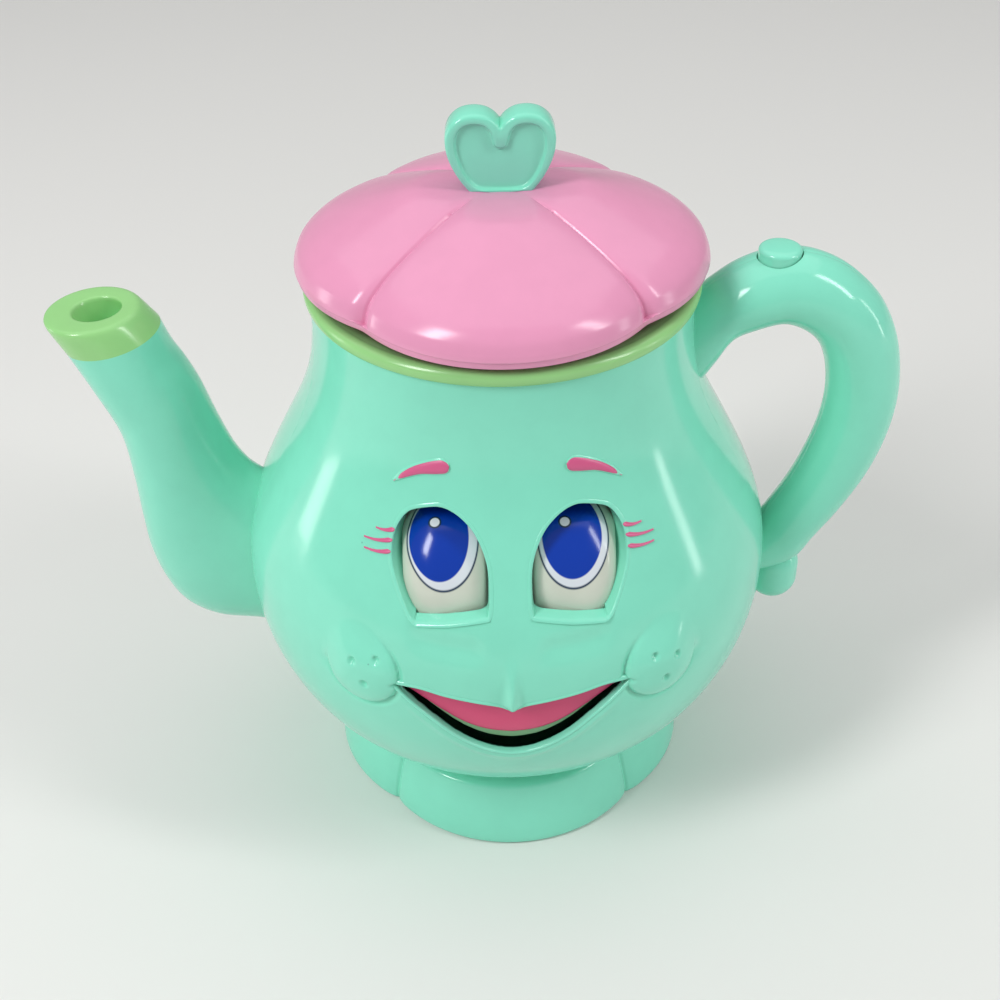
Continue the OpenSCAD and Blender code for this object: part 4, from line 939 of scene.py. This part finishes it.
class TEAPOT_OT_collar(bpy.types.Operator):
    """Lime collar: a rounded bead, a dish that falls inward, and the lid's pocket"""

    bl_idname = "teapot.collar"
    bl_label = "Collar"

    def execute(self, context):
        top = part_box("collar")[1].z / MM
        pocket_r, pocket_z = NECK_R * 0.78, NECK_TOP - 8
        bead = smooth([
            (NECK_R - 2.6, top - 0.65), (NECK_R - 1.0, top - 0.05), (NECK_R + 0.5, top - 0.1),
            (NECK_R + 1.35, top - 0.9), (NECK_R + 1.5, top - 1.9), (NECK_R + 1.25, NECK_TOP + 0.75),
            (NECK_R + 0.6, NECK_TOP + 0.1), (NECK_R - 0.2, NECK_TOP)], 6)
        profile = np.concatenate([
            [(0, pocket_z), (pocket_r - 0.4, pocket_z), (pocket_r, pocket_z + 0.4), (pocket_r, top - 4.9),
             (pocket_r + 0.5, top - 4.4)], bead,
            [(NECK_R - WALL - 0.3, NECK_TOP), (NECK_R - WALL - 0.3, NECK_TOP - 8),
             (NECK_R - 2 * WALL, NECK_TOP - 8), (NECK_R - 2 * WALL, pocket_z + 2),
             (pocket_r + 2, pocket_z + 2), (pocket_r + 2, pocket_z - 2), (0, pocket_z - 2)]])
        profile[0, 0] = profile[-1, 0] = 0.05
        piece("lime_collar", *capped(turned(profile, 240)), "lime_plastic", sharp=35)
        return {"FINISHED"}


FOOT = [(0.965, 0), (0.985, 0.02), (1.0, 0.09), (0.987, 0.3), (0.957, 0.55), (0.927, 0.78), (0.912, 0.9),
        (0.895, 0.975), (0.86, 1.0)]


class TEAPOT_OT_foot(bpy.types.Operator):
    """Foot of four lobes with a rounded top edge"""

    bl_idname = "teapot.foot"
    bl_label = "Foot"

    def execute(self, context):
        # Each level's outline runs round four discs; the inside is turned
        count = 480
        theta = crease_angles(count)
        soft = sizes().crease / MM
        rings = []
        for share, up in smooth(FOOT, 6):
            out = lobed(share * FOOT_LOBE_R, FOOT_LOBE_OUT, theta, soft)
            x, y = out * np.cos(theta), out * np.sin(theta)
            out = out - 0.5 * groove(x, y, 2.4) - 0.6 * groove(x, y, 0.6)
            rings.append(ring(out, theta, up * FOOT_TOP))
        seat, hollow = SPIGOT_R + 0.05, SPIGOT_R + 3.3
        inside = [(seat, FOOT_TOP), (seat, FOOT_TOP - 3), (hollow, FOOT_TOP - 3), (hollow, 0.0)]
        rings += [ring(r, theta, z) for r, z in inside]
        faces = quads(len(rings), count, around=True, closed=True)
        piece("foot_lobes", np.concatenate(rings), faces, "foot_plastic", replaces=("foot_ring",), sharp=32)
        return {"FINISHED"}


SPOUT = [(-0.072, 0.003, -0.252, 0.468, 0.89), (0.142, 0.028, -0.063, 0.494, 0.952),
         (0.357, 0.046, 0.049, 0.522, 0.986), (0.503, 0.098, 0.123, 0.551, 1),
         (0.582, 0.181, 0.2, 0.592, 1), (0.633, 0.288, 0.277, 0.646, 0.986),
         (0.657, 0.406, 0.354, 0.71, 0.973), (0.695, 0.535, 0.424, 0.784, 0.952),
         (0.752, 0.669, 0.485, 0.847, 0.932), (0.847, 0.793, 0.535, 0.899, 0.918),
         (0.936, 0.918, 0.571, 0.959, 0.904)]
SPOUT_RIM = (1, 1, 0.638, 1.015, 0.877)
HANDLE = [(-0.143, 0.833, -0.24, 0.608, 1.018), (0.002, 0.888, -0.053, 0.664, 1.018),
          (0.084, 0.926, 0.057, 0.716, 1), (0.195, 0.965, 0.157, 0.78, 1), (0.316, 0.991, 0.269, 0.807, 1),
          (0.46, 1, 0.395, 0.823, 1), (0.607, 0.98, 0.496, 0.805, 1), (0.74, 0.937, 0.571, 0.768, 1),
          (0.87, 0.864, 0.611, 0.714, 0.982), (0.959, 0.762, 0.619, 0.648, 0.964),
          (1, 0.637, 0.591, 0.577, 0.945), (0.98, 0.518, 0.521, 0.502, 0.927),
          (0.881, 0.399, 0.387, 0.413, 0.9), (0.688, 0.285, 0.232, 0.335, 0.873),
          (0.487, 0.19, 0.072, 0.264, 0.845), (0.361, 0.121, -0.023, 0.226, 0.818),
          (0.16, 0.089, -0.139, 0.191, 0.8), (-0.129, 0.08, -0.314, 0.147, 0.773)]


def stations(shares, side, reach, low, high, half):
    """Far edge, near edge and half thickness of a tube at each station, in millimetres."""
    s = np.asarray(shares, float)
    z1, z2 = low + (high - low) * s[:, 1], low + (high - low) * s[:, 3]
    x1 = side * (body_r(z1) + (reach - body_r(z1)) * s[:, 0])
    x2 = side * (body_r(z2) + (reach - body_r(z2)) * s[:, 2])
    return np.stack([x1, z1, x2, z2, s[:, 4] * half], 1)


def tube_rings(line, angles, inset_by=0.0):
    """Oval rings across a tube: the middle of both edges plus cosine times half their distance, and
    sine times half the thickness in Y."""
    line = np.asarray(line, float)
    far, near = line[:, 0:2], line[:, 2:4]
    centre = (far + near) / 2
    half = np.linalg.norm(far - near, axis=1) / 2
    way = (far - centre) / half[:, None]
    c = np.cos(angles)[None, :] * (half - inset_by)[:, None]
    x = centre[:, 0:1] + way[:, 0:1] * c
    z = centre[:, 1:2] + way[:, 1:2] * c
    y = np.sin(angles)[None, :] * (line[:, 4] - inset_by)[:, None]
    return np.stack([x, y, z], -1)


class TEAPOT_OT_spout(bpy.types.Operator):
    """Mint spout and its lime rim"""

    bl_idname = "teapot.spout"
    bl_label = "Spout"

    def execute(self, context):
        sized = (-1, SPOUT_REACH, SPOUT_LOW, SPOUT_TOP, SPOUT_HALF)
        line = smooth(stations(SPOUT, *sized), 22)
        angles = np.arange(112) * 2 * math.pi / 112
        piece("spout_tube", *capped(tube_rings(line, angles)), "spout_plastic", replaces=("spout",),
              sharp=50)
        self.rim(line[-1], stations([SPOUT_RIM], *sized)[0], angles)
        return {"FINISHED"}

    def rim(self, start, end, angles):
        """Lime ring: oval outside that rounds over a flat rim into a slanting round bore, which cuts
        the rim in an oval longer by one over the sine of its slant."""
        steps = [(-0.006, 0.12), (0.0, 0.0), (0.3, 0.0), (0.6, 0.0), (0.8, 0.04), (0.88, 0.16), (0.94, 0.38),
                 (0.975, 0.68), (0.993, 1.05), (1.0, 1.5), (1.002, 2.2)]
        rings = [tube_rings([start + (end - start) * t], angles, cut)[0] for t, cut in steps]
        low, top, edge = (np.array([x, 0, z]) for x, z in (
            (start[:2] + start[2:4]) / 2, (end[:2] + end[2:4]) / 2, end[:2]))
        flat = (edge - top) / np.linalg.norm(edge - top)
        mouth = top - flat * BORE_NEAR
        axis = (mouth - low) / np.linalg.norm(mouth - low)
        slant = np.linalg.norm(np.cross(flat, axis))
        for radius, down in ((BORE_R + 0.8, 0.0), (BORE_R + 0.45, 0.05), (BORE_R + 0.18, 0.22), (BORE_R, 0.6),
                             (BORE_R, 1.5), (BORE_R, 6), (BORE_R, 16)):
            rings.append(mouth - axis * down + radius * (
                np.cos(angles)[:, None] * flat / slant + np.sin(angles)[:, None] * np.array([0, 1.0, 0])))
        piece("spout_rim", *capped(np.stack(rings)), "lime_plastic", replaces=("spout_tip",), sharp=50)


class TEAPOT_OT_handle(bpy.types.Operator):
    """Handle in two halves, its ball, and the thumb button"""

    bl_idname = "teapot.handle"
    bl_label = "Handle"

    def execute(self, context):
        # Each half is a D-shaped section: half an oval with its flat on the seam, edges eased
        line = smooth(stations(HANDLE, 1, HANDLE_REACH, HANDLE_LOW, HANDLE_TOP, HANDLE_HALF), 16)
        arc = np.linspace(0, math.pi, 61)
        for side, name in ((-1, "front"), (1, "rear")):
            grid = tube_rings(line, side * arc)
            grid[..., 1] += side * 0.03
            middle = (grid[:, :1] + grid[:, -1:]) / 2
            ends = grid[:, [0, -1]]
            far = np.linalg.norm(ends - middle, axis=-1, keepdims=True)
            shrunk = ends + (middle - ends) * (0.14 / far)
            shrunk[..., 1] -= side * 0.02
            loop = np.concatenate([shrunk[:, :1], grid[:, 1:-1], shrunk[:, 1:]], 1)
            self.bore(piece("handle_half_" + name, *capped(loop), "handle_plastic",
                            replaces=("handle_" + name,), sharp=60))
        self.ball()
        self.button()
        return {"FINISHED"}

    def bore(self, made):
        """Cuts the button's round well into a half."""
        low, radius = HANDLE_TOP - 7.0, BUTTON_R + 0.3
        well = turned([(0.01, low), (radius, low), (radius, low + 20), (0.01, low + 20)], 64,
                      centre=(BUTTON_X, 0, 0))
        tool = placed("well", closed_mesh("well", *capped(well)))
        cut = made.modifiers.new("well", "BOOLEAN")
        cut.operation = "DIFFERENCE"
        cut.solver = "EXACT"
        cut.object = tool
        bpy.context.view_layer.update()
        result = bpy.data.meshes.new_from_object(made.evaluated_get(bpy.context.evaluated_depsgraph_get()))
        made.modifiers.clear()
        made.data = result
        smooth_shaded(result)
        result.set_sharp_from_angle(angle=math.radians(40))
        bpy.data.objects.remove(tool)

    def ball(self):
        """Rounded foot at the handle's lower end: an upright pin with two round ends."""
        radius, rise = 7.3, 4.5
        centre = np.array([BELLY_R + 5.6, 0, HANDLE_LOW + 4.5])
        v = np.linspace(0.02, math.pi / 2, 25)
        low = np.stack([radius * np.sin(v), -radius * np.cos(v)], 1)
        grid = turned(np.concatenate([low, low[::-1] * [1, -1] + [0, rise]]), 96, centre=centre)
        piece("handle_foot", *capped(grid), "handle_plastic")

    def button(self):
        """Round cap with a low dome, over a flange and a stem."""
        low, top = BUTTON_LOW, BUTTON_TOP
        edge = top - 1.1
        dome = smooth([
            (BUTTON_R, edge - 0.6), (BUTTON_R - 0.02, edge - 0.1), (BUTTON_R - 0.35, edge + 0.42),
            (BUTTON_R * 0.8, edge + 0.78), (BUTTON_R * 0.5, edge + 1.0), (BUTTON_R * 0.2, edge + 1.08),
            (0.01, top)], 8)
        flange = HANDLE_TOP - 5.9
        profile = np.concatenate([[(0.01, low), (2.1, low), (2.1, flange), (6.1, flange), (6.1, flange + 1),
                                   (BUTTON_R, flange + 1)], dome])
        piece("button_cap", *capped(turned(profile, 96, centre=(BUTTON_X, 0, 0))), "button_plastic",
              body="button", replaces=("thumb_button",), sharp=35)


class TEAPOT_OT_works(bpy.types.Operator):
    """Finishes of the nodes that show as they are: rear shell, plug, base and the works inside"""

    bl_idname = "teapot.works"
    bl_label = "Other mouldings and works"

    def execute(self, context):
        slots = {row["node"]: row["material_slot"] for row in frame["record"]["subparts"]}
        for name, made in frame["nodes"].items():
            made.data.materials.clear()
            slot = slots[name]
            made.data.materials.append(finish_of("paint" if slot == "eye_plastic" else finish_name(slot)))
            if made.hide_render:
                continue
            weld = made.modifiers.new("weld", "WELD")
            weld.merge_threshold = 0.002 * MM
            smooth_shaded(made.data)
            split = made.modifiers.new("edges", "EDGE_SPLIT")
            split.split_angle = math.radians(28)
        return {"FINISHED"}


# Lamps: name, place, height above the table that it points at on the axis, size, and watts
LAMPS = (("window_left", (-0.75, -0.55, 0.95), 0.09, (0.26, 0.6), 8),
         ("window_right", (0.9, -0.35, 0.8), 0.1, (0.16, 0.7), 4),
         ("overhead", (0.0, 0.35, 1.4), 0.1, (2.0, 1.6), 7.5),
         ("strip_left", (-1.0, 0.12, 0.12), 0.12, (0.16, 0.5), 1.2),
         ("strip_right", (1.0, -0.13, 0.16), 0.12, (0.07, 0.5), 0.7))


def aimed(made, right, up, back, place):
    """Turns and places an object by its right, up and backward directions and its place."""
    made.matrix_world = Matrix([[right[i], up[i], back[i], place[i]] for i in range(3)] + [[0, 0, 0, 1]])


def softbox(name, place, aim, size, watts):
    """A rectangular studio lamp that points from place to aim, both in metres."""
    data = bpy.data.lights.new(name, "AREA")
    data.shape = "RECTANGLE"
    data.size, data.size_y = size
    data.energy = watts
    place, aim = np.asarray(place, float), np.asarray(aim, float)
    back = (place - aim) / np.linalg.norm(place - aim)
    right = np.cross([0, 0, 1.0], back)
    right /= np.linalg.norm(right)
    aimed(placed(name, data), right, np.cross(back, right), back, place)


class TEAPOT_OT_stage(bpy.types.Operator):
    """Pale floor that curves up behind, soft studio lamps and the camera"""

    bl_idname = "teapot.stage"
    bl_label = "Stage"

    def execute(self, context):
        self.floor()
        self.camera()
        for name, place, aim_z, size, watts in LAMPS:
            softbox(name, place, (0, 0, aim_z), size, watts)
        world = bpy.data.worlds.new("studio")
        bpy.context.scene.world = world
        world.use_nodes = True
        back = world.node_tree.nodes["Background"]
        back.inputs["Color"].default_value = linear("#F2F4F6")
        back.inputs["Strength"].default_value = 0.36
        bpy.context.scene.view_settings.view_transform = "Standard"
        return {"FINISHED"}

    def floor(self):
        """Sweep: flat to behind the toy, then a quarter circle up to a wall."""
        r, back, wide = 0.9, 1.4, 4.0
        bend = np.linspace(0, math.pi / 2, 24)
        profile = [(-3.0, 0.0), (back, 0.0)]
        profile += [(back + r * math.sin(a), r - r * math.cos(a)) for a in bend[1:]]
        profile += [(back + r, 3.5)]
        n = len(profile)
        points = [(x, *p) for x in (-wide, wide) for p in profile]
        faces = [(i, i + n, i + n + 1, i + 1) for i in range(n - 1)]
        mesh = bpy.data.meshes.new("floor")
        mesh.from_pydata(points, [], faces)
        smooth_shaded(mesh)
        made = placed("floor", mesh)
        mat = bpy.data.materials.new("matte_paper")
        mat.use_nodes = True
        shader = mat.node_tree.nodes["Principled BSDF"]
        shader.inputs["Base Color"].default_value = linear(colours().floor)
        shader.inputs["Roughness"].default_value = 0.85
        shader.inputs["Specular IOR Level"].default_value = 0.2
        mesh.materials.append(mat)

    def camera(self):
        """Camera where the photographer held it: near the face, looking down by 37.5 degrees."""
        focal_px, width_px = 1489.0, 1000.0
        place = np.array([-4.2, -341.3, 350.3]) * MM
        pitch, yaw, roll = math.radians(37.53), math.radians(0.42), math.radians(-1.08)
        ahead = np.array([math.sin(yaw) * math.cos(pitch), math.cos(yaw) * math.cos(pitch), -math.sin(pitch)])
        right = np.cross(ahead, [0, 0, 1.0])
        right /= np.linalg.norm(right)
        up = np.cross(right, ahead)
        tilt, level = math.sin(roll), math.cos(roll)
        right, up = level * right + tilt * up, level * up - tilt * right
        data = bpy.data.cameras.new("camera")
        data.sensor_width = 36.0
        data.lens = focal_px / width_px * data.sensor_width
        data.clip_start = 0.01
        made = placed("camera", data)
        aimed(made, right, up, -ahead, place)
        bpy.context.scene.camera = made


OPERATORS = (TEAPOT_OT_face, TEAPOT_OT_eyes, TEAPOT_OT_paint, TEAPOT_OT_mouth, TEAPOT_OT_lid,
             TEAPOT_OT_heart, TEAPOT_OT_collar, TEAPOT_OT_foot, TEAPOT_OT_spout, TEAPOT_OT_handle,
             TEAPOT_OT_works, TEAPOT_OT_stage)


class TEAPOT_PT_panel(bpy.types.Panel):
    """Lists the teapot's pieces and sizes"""

    bl_idname = "TEAPOT_PT_panel"
    bl_label = "Teapot"
    bl_space_type = "VIEW_3D"
    bl_region_type = "UI"
    bl_category = "Teapot"

    def draw(self, context):
        for group in (context.scene.teapot_sizes, context.scene.teapot_colours):
            for name in group.__annotations__:
                self.layout.prop(group, name)
        for made in OPERATORS:
            self.layout.operator(made.bl_idname)


CLASSES = (TeapotSizes, TeapotColours, *OPERATORS, TEAPOT_PT_panel)


def register():
    for made in CLASSES:
        bpy.utils.register_class(made)
    bpy.types.Scene.teapot_sizes = bpy.props.PointerProperty(type=TeapotSizes)
    bpy.types.Scene.teapot_colours = bpy.props.PointerProperty(type=TeapotColours)


def unregister():
    del bpy.types.Scene.teapot_sizes
    del bpy.types.Scene.teapot_colours
    for made in reversed(CLASSES):
        bpy.utils.unregister_class(made)


def main():
    register()
    for made in OPERATORS:
        group, name = made.bl_idname.split(".")
        getattr(getattr(bpy.ops, group), name)()
    bpy.context.view_layer.update()


if __name__ == "__main__":
    main()
